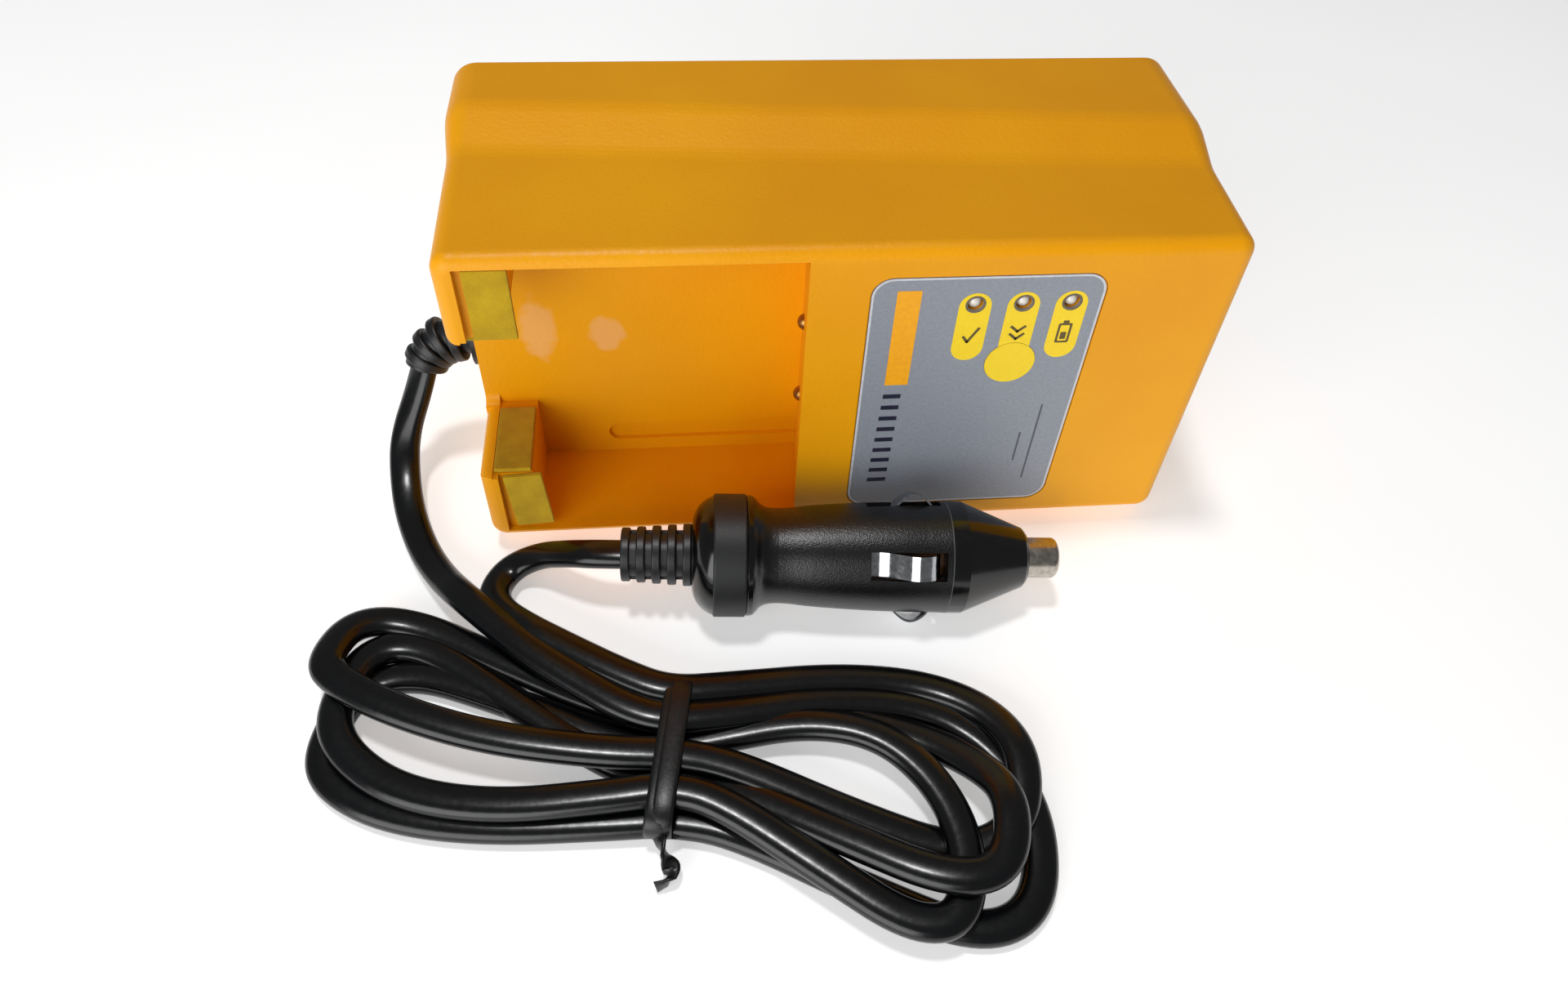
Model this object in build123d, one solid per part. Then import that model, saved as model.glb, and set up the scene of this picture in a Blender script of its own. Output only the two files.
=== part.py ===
from build123d import *
import os
from math import asin, cos, degrees, pi, radians, sin, tan

# A charger for a handheld battery pack, fed from a car's 12 V socket.
# It stands on one long side: X runs along its length, -Y is the face with the battery bay,
# +Z is up, and z = 0 is the surface it stands on. Millimetres throughout.

# ---- housing, outside
FRONT_LENGTH = 132.0     # narrow front section, along X at its face
FRONT_HEIGHT = 65.0      # the same, along Z
DEPTH = 55.5             # face to back, along Y
DRAFT_OUT = 0.4          # how far the front section widens before the shoulder
END_STEP = 1.2           # how far the shoulder steps out at each end
SIDE_STEP = 3.1          # how far it steps out on each long side
SHOULDER_START = 26.3    # face to the foot of the shoulder, at mid-length
SHOULDER_RUN = 10.4      # depth of the slanted shoulder band
SHOULDER_SKEW = 3.5      # the band runs askew by this many degrees
FRONT_CORNER = 3.0       # corner radius of the front section
REAR_CORNER = 5.0        # corner radius of the rear section
FACE_ROUND = 2.5         # rounding of the edges round the face
SHOULDER_ROUND = 1.6     # rounding of the two shoulder lines
BACK_ROUND = 0.8
WALL = 2.2

# ---- battery bay, open to the face and, through a finger notch, to the left end
BAY_WALL_END = 2.4       # thickness of the end wall with the notch
BAY_WALL_SIDE = 2.0      # thickness of the long walls beside the bay
BAY_LENGTH = 56.2        # along X at the face
BAY_UNDERCUT = 2.3       # the contact wall leans out this much towards the floor
BAY_DEPTH = 21.0
FLOOR_WALL = 2.0         # thickness of the bay floor
NOTCH_LOW = 17.0         # notch, above the bottom of the front section
NOTCH_HEIGHT = 31.5
NOTCH_ROUND = 2.0        # rounding inside the notch
TAB_ROUND = 2.0          # rounding of the wall's ends at the notch
BLOCK_WIDTH = 7.2        # corner blocks at the notch, along X
BLOCK_GAP = 0.4          # each block ends this far from the notch edge
PAD_RECESS = 1.5         # the blocks' faces lie this far behind the bay's rim
PAD_MARGIN = 2.2         # rim left beside each pad
PAD_THICK = 1.0
PAD_LENGTH = 7.1
PAD_HEIGHT = 13.6
PAD_SHORT = 4.5          # a side pad is this much shorter than the bay is deep
PAD_SIDE_MARGIN = 0.2    # each side pad lies this far inside its block
GROOVE_LENGTH = 36.0     # blind groove in the bay floor, from the contact wall
GROOVE_WIDTH = 4.4
GROOVE_ABOVE = 5.2       # bay's lower wall to the middle of the groove
GROOVE_DEEP = 1.0

# ---- label, key and lamps on the face, from the right end and from mid-height
LABEL_LENGTH = 39.2
LABEL_HEIGHT = 54.2
LABEL_FROM_END = 23.9    # right end of the face to the label
LABEL_CORNER = 3.6
LABEL_THICK = 0.4
LABEL_SUNK = 0.1         # label surface below the face
LABEL_CLEAR = 0.25
LABEL_BELOW = 0.2        # middle of the label below mid-height
LAMP_D = 2.5
LAMP_CLEAR = 0.1
LAMP_FLANGE = 0.35       # flange at the lamp's foot, beyond its body
LAMP_FLANGE_H = 0.8
LAMP_PITCH = 8.2
LAMP_ROW = 21.3          # lamps above mid-height
LAMP_FIRST = 17.6        # label's left edge to the first lamp
KEY_D = 8.6
KEY_BELOW_LAMP = 12.9    # the key is below the middle lamp
KEY_THICK = 0.8
KEY_CLEAR = 0.2
KEY_TRAVEL = 0.35
KEY_STEM_D = 3.0
STEM_CLEAR = 0.08

# ---- inside
BASE_THICK = 2.6         # plate that closes the back
BASE_CLEAR = 0.2
BOSS_D = 7.0
BOSS_INSET = 6.0         # boss axis from the inside of the walls
SCREW_D = 3.0
SCREW_HEAD_D = 5.6
SCREW_HEAD_H = 1.7
SCREW_LENGTH = 11.0
SCREW_CLEAR = 0.2
DRIVE_D = 2.2            # recess in a screw head
PILOT_SPARE = 1.0        # pilot hole left under a base screw
BOARD_THICK = 1.6
BOARD_GAP = 5.0          # inside of the face to the board
BOARD_CLEAR = 2.0        # board edge to the partition
BOARD_LENGTH = 55.0
BOARD_HEIGHT = 54.0
BOARD_HOLE_INSET = 4.0
BOARD_BOSS_D = 5.4
BOARD_SCREW_D = 2.5
BOARD_SCREW_LENGTH = 5.5
BOARD_SCREW_HEAD_D = 4.5
BOARD_SCREW_HEAD_H = 1.4
SWITCH_SIDE = 6.0
SWITCH_HEIGHT = 3.4
PLUNGER_D = 2.6
PLUNGER_SUNK = 1.2
PLUNGER_FREE = 0.6       # plunger above the switch
SWITCH_CHAMFER = 0.4
PLUNGER_CLEAR = 0.2      # under the plunger when it is pressed

# ---- battery contacts
CONTACT_PITCH = 17.3
CONTACT_DEEP = 12.5      # face to the contact axes
CONTACT_D = 3.0
CONTACT_PROUD = 1.2
CONTACT_TRAVEL = 0.9
FLANGE_D = 4.6
FLANGE_THICK = 0.9
CONTACT_CLEAR = 0.06
BLOCK_DEEP = 11.0        # contact carrier, along X
CARRIER_SIDE = 6.6
CARRIER_BACK = 1.2       # wall behind each pocket
SPRING_WIRE = 0.45
SPRING_TURNS = 5
SPRING_CLEAR = 0.1

# ---- parts on the board: sizes along X, Y and Z, and places as shares of the board's length from its left
# edge and of its height from its middle
INDUCTOR_AT = (0.68, -0.16)
INDUCTOR_R = 8.5
INDUCTOR_HOLE_R = 3.6
INDUCTOR_H = 8.0
INDUCTOR_ROUND = 1.6
CAPACITORS = (((0.22, 0.30), 4.0, 12.0), ((0.86, 0.24), 5.0, 16.0))  # place, radius, height
CAN_ROUND = 0.6
SINK_AT = (0.36, 0.12)
SINK_LENGTH = 18.0
SINK_TALL = 20.0
SINK_WEB = 2.0
SINK_FIN = 1.2
SINK_FINS = 5
SINK_DEEP = 9.0
TRANSISTOR = (10.0, 9.2, 4.4)
TRANSISTOR_FOOT = 3.0    # board to the package
LEG_PITCH = 2.54
LEG = (0.8, 0.6)
CHIP_AT = (0.22, -0.34)
CHIP = (10.0, 1.8, 4.0)
CHIP_LEADS = 8
CHIP_FOOT = 0.2          # board to the package
CHIP_LEAD = 0.4          # width of a lead
CHIP_LEAD_OUT = 1.0
CHIP_LEAD_H = 0.5
TERMINAL_AT = (0.2, -0.06)
TERMINAL = (8.0, 10.0, 10.0)
WIRE_D = 1.9
WIRE_CLEAR = 0.1
WIRE_HOLE = 4.0
WIRE_SPREAD = 2.4        # between the two wires as they leave the gland
WIRE_ABOVE = 10.0        # their run behind the bay floor

# ---- cord and its relief on the left end, from the front left corner of the face
CORD_D = 5.0
GLAND_FROM_FACE = 32.2
GLAND_ABOVE = 28.0
GLAND_D = 10.4
GLAND_TIP_D = 7.6
GLAND_COLLAR_D = 12.0
GLAND_COLLAR = 1.4
GLAND_STRAIGHT = 1.4
GLAND_BEND_R = 9.5
GLAND_BEND = 70.0        # degrees that the relief droops
GLAND_LEAN = 20.0        # degrees that it leans forward as it droops
GLAND_RINGS = 4
GLAND_RING = 2.0
GLAND_RING_FIRST = 0.34  # along the relief to its first ring
GLAND_RING_END = 0.4     # free end after the last ring, in ring pitches
GLAND_SEAT = 0.9         # depth of the collar's seat in the end wall
GLAND_CLEAR = 0.1
GLAND_GRIP = 3.4         # left end of the face to the gland's inner flange
GLAND_INSIDE = 6.5       # and to the gland's inner end

# the lead's points after the relief, from the lower left corner of the face
LEAD_ROUTE = [(-18.3, 22.8, 10.2), (-18.5, 16.4, 5.4), (-16.9, 8.0, 2.9), (-13.2, -1.4, 2.6),
              (-8.8, -9.0, 3.2), (-4.8, -15.2, 4.8), (-1.8, -19.4, 6.4)]
# the plug lead's points after the plug's relief
PLUG_LEAD_ROUTE = [(15.6, -9.6, 9.6), (9.6, -6.4, 5.6), (3.8, -7.4, 3.0), (1.2, -12.8, 2.7),
                   (2.4, -18.8, 4.2), (6.9, -23.2, 6.4)]
LEAD_OUT = 4.5           # each lead's first run, straight out of its relief

# ---- plug; u runs along its axis from the rear of its round shoulder
PLUG_REAR = (38.2, -13.0)    # rear of the shoulder from the corner of the face, X and Y
PLUG_YAW = -3.1
BULB_R = 11.35
BARREL_R = 10.3          # its end flares a little, to just under the nose, which guides the plug
BARREL_END_R = 10.4
NOSE_R = 10.45
NECK_R = 8.8
BAND_START = 3.9
BAND_END = 9.9
LIP_END = 11.5
NECK_AT = 15.5
BARREL_FULL = 42.1       # where the barrel reaches its full radius
BARREL_END = 46.8
NOSE_STRAIGHT = 3.0
NOSE_END = 61.9
NOSE_END_R = 5.7
PLUG_BORE_R = 8.7
PLUG_CORE_R = 4.6        # passage for the fuse
PLUG_CLEAR = 0.15
TIP_R = 3.8
TIP_END = 68.2
TIP_TRAVEL = 2.5
TIP_FLANGE_R = 4.8
TIP_ROUND = 1.0
TIP_GAP = 0.1            # flange to the nose's end wall
FUSE_R = 3.15
FUSE_LENGTH = 30.0
FUSE_CAP = 5.5
WINDOW_START = 31.9
WINDOW_END = 45.6
WINDOW_WIDTH = 5.2
CLIP_WIDTH = 4.4
CLIP_THICK = 0.5
CLIP_SUNK = 0.4          # foot below the bore's wall
CLIP_FOOT = 0.2          # window's rear edge to the foot
CLIP_RISE_AT = 3.4       # where it starts to rise, and by how much
CLIP_RISE = 0.5
CLIP_CREST_AT = 8.8
CLIP_FALL_AT = 11.4      # beyond its crest, and how far below it
CLIP_FALL = 1.2
CLIP_END = 1.1           # free end: window's end to its tip, and its height over the foot
CLIP_END_RISE = 0.6
CLIP_PROUD = 1.6
CLIP_COUNT = 4
CLIP_FIRST = -50.0       # degrees, from level towards the viewer's side, upwards
RELIEF_LENGTH = 12.8
RELIEF_END_R = 4.95
RELIEF_ROOT_R = 5.75
RELIEF_CORE_R = 4.2
RELIEF_RING = 1.6
RELIEF_RINGS = 4
RELIEF_RIB = 2.4
RELIEF_ROUND = 0.3
RELIEF_RIB_SUNK = 0.5    # the ribs lie this far below the last ring
RELIEF_FOOT = 8.0        # how far its foot reaches into the body
BAND_THICK = 1.2
DISC_THICK = 1.5         # rear contact
DISC_CLEAR = 0.05        # round the parts pressed into the body
FUSE_SPRING_LESS = 0.6   # the spring's wire runs this far inside the fuse's radius
FUSE_SPRING_TURNS = 4
FUSE_SPRING_GAP = 0.2    # spring to the pressed fuse
SLEEVE_CLEAR = 0.1
SLEEVE_GAP = 0.5         # rear contact to the sleeve
CORE_START = 14.0        # start of the fuse passage
RING_START = 27.0        # start of the clips' ring
RING_THICK = 0.8
RING_SHORT = 0.3         # ring to the windows
SLEEVE_END = 54.3
FUSE_END = 57.2          # where the fuse meets the tip
NOSE_SPIGOT = 0.9
NOSE_EDGE = 0.6
NOSE_LIP = 2.2           # thickness of its end
TIP_CLEAR = 0.08
FUSE_GLASS_LESS = 0.3    # the glass is this much smaller than its caps, in radius

# ---- hank and its tie, from the corner of the face
HANK_UNDER = 0.8         # the tie passes under the hank
HANK_HEIGHT = 11.2
TIE_X = 33.0
TIE_WIDTH = 4.0
TIE_FRONT = -65.6        # nearest the viewer
TIE_BACK = -37.6
TIE_THICK = 0.8
TIE_TAIL = 6.5
TIE_TAIL_H = 3.0
HANK_LEFT = (2.0, -39.8)     # middle of the left lobe
HANK_LEFT_R = (31.0, 20.5)
HANK_LEFT_TURN = -4.0
HANK_RIGHT = (63.0, -61.3)   # middle of the right lobe
HANK_RIGHT_R = (33.0, 22.5)
HANK_RIGHT_TURN = -18.0

# ---- worked out
MID_LENGTH = FRONT_LENGTH + 2 * DRAFT_OUT
MID_HEIGHT = FRONT_HEIGHT + 2 * DRAFT_OUT
REAR_LENGTH = MID_LENGTH + 2 * END_STEP
REAR_HEIGHT = MID_HEIGHT + 2 * SIDE_STEP
MID_Z = REAR_HEIGHT / 2
FACE_Y = -DEPTH / 2
BACK_Y = DEPTH / 2
LEFT_X = -FRONT_LENGTH / 2
RIGHT_X = FRONT_LENGTH / 2
FRONT_LOW = MID_Z - FRONT_HEIGHT / 2
FRONT_TOP = MID_Z + FRONT_HEIGHT / 2
BAY_X0 = LEFT_X + BAY_WALL_END
BAY_X1 = BAY_X0 + BAY_LENGTH
BAY_Z0 = FRONT_LOW + BAY_WALL_SIDE
BAY_Z1 = FRONT_TOP - BAY_WALL_SIDE
FLOOR_Y = FACE_Y + BAY_DEPTH
PARTITION_X = BAY_X1 + BAY_UNDERCUT + WALL
NOTCH_Z0 = FRONT_LOW + NOTCH_LOW
NOTCH_Z1 = NOTCH_Z0 + NOTCH_HEIGHT
SEAT_Y = BACK_Y - BASE_THICK
LABEL_X1 = RIGHT_X - LABEL_FROM_END
LABEL_X0 = LABEL_X1 - LABEL_LENGTH
LABEL_Y = FACE_Y + LABEL_SUNK
LABEL_BACK = LABEL_Y + LABEL_THICK
LAMP_X = [LABEL_X0 + LAMP_FIRST + i * LAMP_PITCH for i in range(3)]
LAMP_Z = MID_Z + LAMP_ROW
KEY_X = LAMP_X[1]
KEY_Z = LAMP_Z - KEY_BELOW_LAMP
INSIDE_Y = FACE_Y + WALL
BOARD_Y = INSIDE_Y + BOARD_GAP
BOARD_X0 = PARTITION_X + BOARD_CLEAR
BOARD_BACK = BOARD_Y + BOARD_THICK
CONTACT_Y = FACE_Y + CONTACT_DEEP
CONTACT_WALL = BAY_X1 + BAY_UNDERCUT * CONTACT_DEEP / BAY_DEPTH
CONTACT_ZS = {"upper": MID_Z + CONTACT_PITCH / 2, "lower": MID_Z - CONTACT_PITCH / 2}
CARRIER_X = PARTITION_X + BLOCK_DEEP
GLAND_X = -REAR_LENGTH / 2 + END_STEP / 2
GLAND_Y = FACE_Y + GLAND_FROM_FACE
GLAND_Z = GLAND_ABOVE
STEM_END = BOARD_Y - SWITCH_HEIGHT - PLUNGER_FREE
PAD_SIDE_DEEP = BAY_DEPTH - PAD_SHORT
BIG = 400.0


def box(x0, x1, y0, y1, z0, z1):
    """A block between two corners."""
    return Pos((x0 + x1) / 2, (y0 + y1) / 2, (z0 + z1) / 2) * Box(x1 - x0, y1 - y0, z1 - z0)


def rod_y(x, z, y0, y1, radius):
    """A cylinder along Y."""
    return Pos(x, (y0 + y1) / 2, z) * Rot(90, 0, 0) * Cylinder(radius, y1 - y0)


def rod_x(y, z, x0, x1, radius):
    """A cylinder along X."""
    return Pos((x0 + x1) / 2, y, z) * Rot(0, 90, 0) * Cylinder(radius, x1 - x0)


# ---------------------------------------------------------------- housing
def section(length, height, corner, y, skew=0.0):
    """A rounded rectangle that faces the front, turned by skew about Z."""
    turn = radians(skew)
    across = (cos(turn), -sin(turn), 0)
    normal = (-sin(turn), -cos(turn), 0)
    plane = Plane(origin=(0, y, MID_Z), x_dir=across, z_dir=normal)
    return plane * RectangleRounded(length / cos(turn), height, corner)


def shoulder_step(run):
    """How far along its step the shoulder has come, 0 to 1, at a depth into its band."""
    return min(max(run / SHOULDER_RUN, 0.0), 1.0)


def stepped_form(inset):
    """The housing's outer form, or the same set in by a wall.

    Each shoulder line is rounded by averaging the step over a short stretch of depth.
    """
    less = 2 * inset
    front_corner = FRONT_CORNER - min(inset, FRONT_CORNER / 2)
    rear_corner = REAR_CORNER - min(inset, REAR_CORNER / 2)
    sections = [section(FRONT_LENGTH - less, FRONT_HEIGHT - less, front_corner, FACE_Y + inset)]
    for line in (0.0, SHOULDER_RUN):
        for offset in (-1.0, -0.4, 0.4, 1.0):
            run = line + offset * SHOULDER_ROUND
            low = shoulder_step(run - SHOULDER_ROUND)
            mid = shoulder_step(run)
            high = shoulder_step(run + SHOULDER_ROUND)
            step = (low + 2 * mid + high) / 4
            length = MID_LENGTH + 2 * END_STEP * step - less
            height = MID_HEIGHT + 2 * SIDE_STEP * step - less
            corner = front_corner + (rear_corner - front_corner) * step
            sections.append(section(length, height, corner, FACE_Y + SHOULDER_START + run, SHOULDER_SKEW))
    sections.append(section(REAR_LENGTH - less, REAR_HEIGHT - less, rear_corner, BACK_Y))
    return loft(sections, ruled=True)


def outer_form():
    form = stepped_form(0.0)
    form = fillet(form.faces().sort_by(Axis.Y)[0].edges(), FACE_ROUND)
    return fillet(form.faces().sort_by(Axis.Y)[-1].edges(), BACK_ROUND)


def corner_blocks(proud, width):
    """The two blocks beside the notch, from the bay floor out to a depth behind the rim."""
    x0 = BAY_X0
    x1 = BAY_X0 + width
    low = box(x0, x1, FACE_Y + proud, FLOOR_Y, BAY_Z0, NOTCH_Z0 - BLOCK_GAP)
    high = box(x0, x1, FACE_Y + proud, FLOOR_Y, NOTCH_Z1 + BLOCK_GAP, BAY_Z1)
    return [low, high]


def bay_space():
    """The open space of the bay, its contact wall undercut."""
    outline = Polyline((BAY_X0, FACE_Y - WALL), (BAY_X0, FLOOR_Y), (BAY_X1 + BAY_UNDERCUT, FLOOR_Y),
                       (BAY_X1, FACE_Y), (BAY_X1, FACE_Y - WALL), close=True)
    space = extrude(Plane.XY * make_face(outline), BAY_Z1 - BAY_Z0)
    space = Pos(0, 0, BAY_Z0) * space
    for block in corner_blocks(0.0, PAD_MARGIN - BAY_WALL_END / 2) + corner_blocks(PAD_RECESS, BLOCK_WIDTH):
        space -= block
    return space


def notch_space():
    """The finger notch through the end wall, rounded where it meets the bay floor."""
    notch = box(LEFT_X - WALL, BAY_X0, FACE_Y - WALL, FLOOR_Y, NOTCH_Z0, NOTCH_Z1)
    inner = notch.edges().filter_by(Axis.X).group_by(Axis.Y)[-1]
    return fillet(inner, NOTCH_ROUND)


def tab_rounding():
    """What the rounded ends of the wall's tabs leave out, down to the notch's own rounding."""
    cuts = []
    x = LEFT_X + TAB_ROUND - DRAFT_OUT / 2
    y0 = FACE_Y - WALL
    y1 = FLOOR_Y - NOTCH_ROUND
    for edge, away in ((NOTCH_Z0, -1), (NOTCH_Z1, 1)):
        z = edge + away * TAB_ROUND
        corner = box(LEFT_X - WALL, x, y0, y1, min(edge, z), max(edge, z))
        cuts.append(corner - rod_y(x, z, y0, y1, TAB_ROUND))
    return cuts


def base_bosses():
    """Where the four base screws go, X and Z."""
    x = REAR_LENGTH / 2 - WALL - BOSS_INSET
    z = REAR_HEIGHT / 2 - WALL - BOSS_INSET
    return [(sx * x, MID_Z + sz * z) for sx in (-1, 1) for sz in (-1, 1)]


def board_holes():
    """Where the board's screws go, X and Z."""
    xs = (BOARD_X0 + BOARD_HOLE_INSET, BOARD_X0 + BOARD_LENGTH - BOARD_HOLE_INSET)
    half = BOARD_HEIGHT / 2 - BOARD_HOLE_INSET
    return [(x, MID_Z + sz * half) for x in xs for sz in (-1, 1)]


def label_outline(clearance, corner):
    """The label's outline on the face, X to the right, as a sketch in XZ."""
    shape = RectangleRounded(LABEL_LENGTH + 2 * clearance, LABEL_HEIGHT + 2 * clearance, corner + clearance)
    return Plane(origin=((LABEL_X0 + LABEL_X1) / 2, 0, MID_Z - LABEL_BELOW),
                 x_dir=(1, 0, 0), z_dir=(0, -1, 0)) * shape


def housing():
    shell = outer_form()
    hollow = stepped_form(WALL)
    hollow -= box(-BIG, PARTITION_X, -BIG, FLOOR_Y + FLOOR_WALL, -BIG, BIG)
    rear_open = Pos(0, BACK_Y, MID_Z) * Rot(90, 0, 0) * Box(
        REAR_LENGTH - 2 * WALL, REAR_HEIGHT - 2 * WALL, 2 * BASE_THICK)
    rear_open = fillet(rear_open.edges().filter_by(Axis.Y), REAR_CORNER - WALL)
    posts = []
    for x, z in base_bosses():
        start = FLOOR_Y if x < 0 else FACE_Y + WALL / 2
        posts.append(rod_y(x, z, start, SEAT_Y, BOSS_D / 2))
    for x, z in board_holes():
        posts.append(rod_y(x, z, FACE_Y + WALL / 2, BOARD_Y, BOARD_BOSS_D / 2))
    hollow -= posts
    shell -= hollow + rear_open
    shell -= [bay_space(), notch_space()] + tab_rounding()
    # blind groove in the bay floor
    groove_z = BAY_Z0 + GROOVE_ABOVE
    groove_x = BAY_X1 + BAY_UNDERCUT
    groove_y = FLOOR_Y + GROOVE_DEEP
    shell -= box(groove_x - GROOVE_LENGTH, groove_x, FLOOR_Y - 1, groove_y,
                 groove_z - GROOVE_WIDTH / 2, groove_z + GROOVE_WIDTH / 2)
    shell -= rod_y(groove_x - GROOVE_LENGTH, groove_z, FLOOR_Y - 1, groove_y, GROOVE_WIDTH / 2)
    # recess for the label, with lamp and key holes behind it
    recess = extrude(label_outline(LABEL_CLEAR, LABEL_CORNER), DEPTH, both=True)
    shell -= recess & box(-BIG, BIG, FACE_Y - WALL, LABEL_BACK, -BIG, BIG)
    for x in LAMP_X:
        shell -= rod_y(x, LAMP_Z, FACE_Y, INSIDE_Y + 1, LAMP_D / 2 + LAMP_CLEAR)
    well = LABEL_Y + KEY_THICK + KEY_TRAVEL + KEY_CLEAR
    shell -= rod_y(KEY_X, KEY_Z, FACE_Y, well, KEY_D / 2 + KEY_CLEAR)
    shell -= rod_y(KEY_X, KEY_Z, FACE_Y, INSIDE_Y + 1, KEY_STEM_D / 2 + STEM_CLEAR)
    # screw pilots, contact holes and the gland hole
    for x, z in base_bosses():
        shell -= rod_y(x, z, SEAT_Y - SCREW_LENGTH, SEAT_Y + 1, SCREW_D / 2)
    for x, z in board_holes():
        shell -= rod_y(x, z, BOARD_BACK - BOARD_SCREW_LENGTH, BOARD_Y + 1, BOARD_SCREW_D / 2)
    for z in CONTACT_ZS.values():
        shell -= rod_x(CONTACT_Y, z, CONTACT_WALL - 1, PARTITION_X + 1, CONTACT_D / 2 + CONTACT_CLEAR)
    shell -= rod_x(GLAND_Y, GLAND_Z, LEFT_X - 5, LEFT_X + 5, GLAND_D / 2)
    shell -= rod_x(GLAND_Y, GLAND_Z, LEFT_X - 5, GLAND_X + GLAND_SEAT, GLAND_COLLAR_D / 2 + GLAND_CLEAR)
    return shell


def base_plate():
    length = REAR_LENGTH - 2 * (WALL + BASE_CLEAR)
    height = REAR_HEIGHT - 2 * (WALL + BASE_CLEAR)
    plate = Pos(0, (SEAT_Y + BACK_Y) / 2, MID_Z) * Box(length, BASE_THICK, height)
    plate = fillet(plate.edges().filter_by(Axis.Y), REAR_CORNER - WALL - BASE_CLEAR)
    for x, z in base_bosses():
        plate -= rod_y(x, z, SEAT_Y - 1, BACK_Y + 1, SCREW_D / 2 + SCREW_CLEAR)
        plate -= rod_y(x, z, BACK_Y - SCREW_HEAD_H - SCREW_CLEAR, BACK_Y + 1, SCREW_HEAD_D / 2 + SCREW_CLEAR)
    return plate


def screws(places, head_y, shank_d, head_d, head_h, length):
    """Screws driven towards -Y, heads against head_y."""
    group = []
    for x, z in places:
        screw = rod_y(x, z, head_y - length, head_y, shank_d / 2)
        head = rod_y(x, z, head_y, head_y + head_h, head_d / 2)
        head = fillet(head.edges().group_by(Axis.Y)[-1], head_h * 0.3)
        screw += head
        for turn in (0, 90):
            slot = Pos(x, head_y + head_h, z) * Rot(0, turn, 0) * Box(DRIVE_D, head_h, DRIVE_D / 4)
            screw -= slot
        group.append(screw)
    return Compound(group)


# ---------------------------------------------------------------- label, key and lamps
def label_overlay():
    """Printed film, set in the recess, with holes for the lamps and the key."""
    film = extrude(label_outline(0.0, LABEL_CORNER), DEPTH, both=True)
    film &= box(-BIG, BIG, LABEL_Y, LABEL_BACK, -BIG, BIG)
    for x in LAMP_X:
        film -= rod_y(x, LAMP_Z, LABEL_Y - 1, LABEL_BACK + 1, LAMP_D / 2 + LAMP_CLEAR)
    film -= rod_y(KEY_X, KEY_Z, LABEL_Y - 1, LABEL_BACK + 1, KEY_D / 2 + KEY_CLEAR)
    return film


def fast_key():
    """Round key flush with the label, its stem reaching the switch."""
    cap = rod_y(KEY_X, KEY_Z, LABEL_Y, LABEL_Y + KEY_THICK, KEY_D / 2)
    cap = fillet(cap.edges().group_by(Axis.Y)[0], KEY_THICK / 4)
    return cap + rod_y(KEY_X, KEY_Z, LABEL_Y + KEY_THICK, STEM_END, KEY_STEM_D / 2)


def lamp(x):
    """An indicator lamp: clear body with a domed end, and its flange on the board."""
    dome_r = LAMP_D / 2
    body = rod_y(x, LAMP_Z, LABEL_Y + dome_r, BOARD_Y, dome_r)
    dome = Pos(x, LABEL_Y + dome_r, LAMP_Z) * Sphere(dome_r)
    return body + dome + rod_y(x, LAMP_Z, BOARD_Y - LAMP_FLANGE_H, BOARD_Y, dome_r + LAMP_FLANGE)


def circuit_board():
    """The board, screwed to four bosses behind the face."""
    board = box(BOARD_X0, BOARD_X0 + BOARD_LENGTH, BOARD_Y, BOARD_BACK,
                MID_Z - BOARD_HEIGHT / 2, MID_Z + BOARD_HEIGHT / 2)
    for x, z in board_holes():
        board -= rod_y(x, z, BOARD_Y - 1, BOARD_BACK + 1, BOARD_SCREW_D / 2 + SCREW_CLEAR)
    return board


def switch_body():
    """Push switch under the key."""
    body = Pos(KEY_X, BOARD_Y - SWITCH_HEIGHT / 2, KEY_Z) * Box(SWITCH_SIDE, SWITCH_HEIGHT, SWITCH_SIDE)
    body = chamfer(body.edges().group_by(Axis.Y)[0], SWITCH_CHAMFER)
    top = BOARD_Y - SWITCH_HEIGHT
    bottom = top + PLUNGER_SUNK + KEY_TRAVEL + PLUNGER_CLEAR
    return body - rod_y(KEY_X, KEY_Z, top - 1, bottom, PLUNGER_D / 2 + STEM_CLEAR)


def switch_plunger():
    """The switch's plunger, between the key's stem and the switch."""
    return rod_y(KEY_X, KEY_Z, STEM_END, BOARD_Y - SWITCH_HEIGHT + PLUNGER_SUNK, PLUNGER_D / 2)


# ---------------------------------------------------------------- parts on the board
def board_place(share):
    """A place on the board, X and Z."""
    return BOARD_X0 + share[0] * BOARD_LENGTH, MID_Z + share[1] * BOARD_HEIGHT


def inductor():
    """Ring core wound with wire, standing on the board."""
    x, z = board_place(INDUCTOR_AT)
    core = rod_y(x, z, BOARD_BACK, BOARD_BACK + INDUCTOR_H, INDUCTOR_R)
    core -= rod_y(x, z, BOARD_BACK - 1, BOARD_BACK + INDUCTOR_H + 1, INDUCTOR_HOLE_R)
    return fillet(core.edges().filter_by(GeomType.CIRCLE), INDUCTOR_ROUND)


def capacitors():
    """Two smoothing capacitors."""
    group = []
    for place, radius, height in CAPACITORS:
        can = rod_y(*board_place(place), BOARD_BACK, BOARD_BACK + height, radius)
        group.append(fillet(can.edges().group_by(Axis.Y)[-1], CAN_ROUND))
    return Compound(group)


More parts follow.
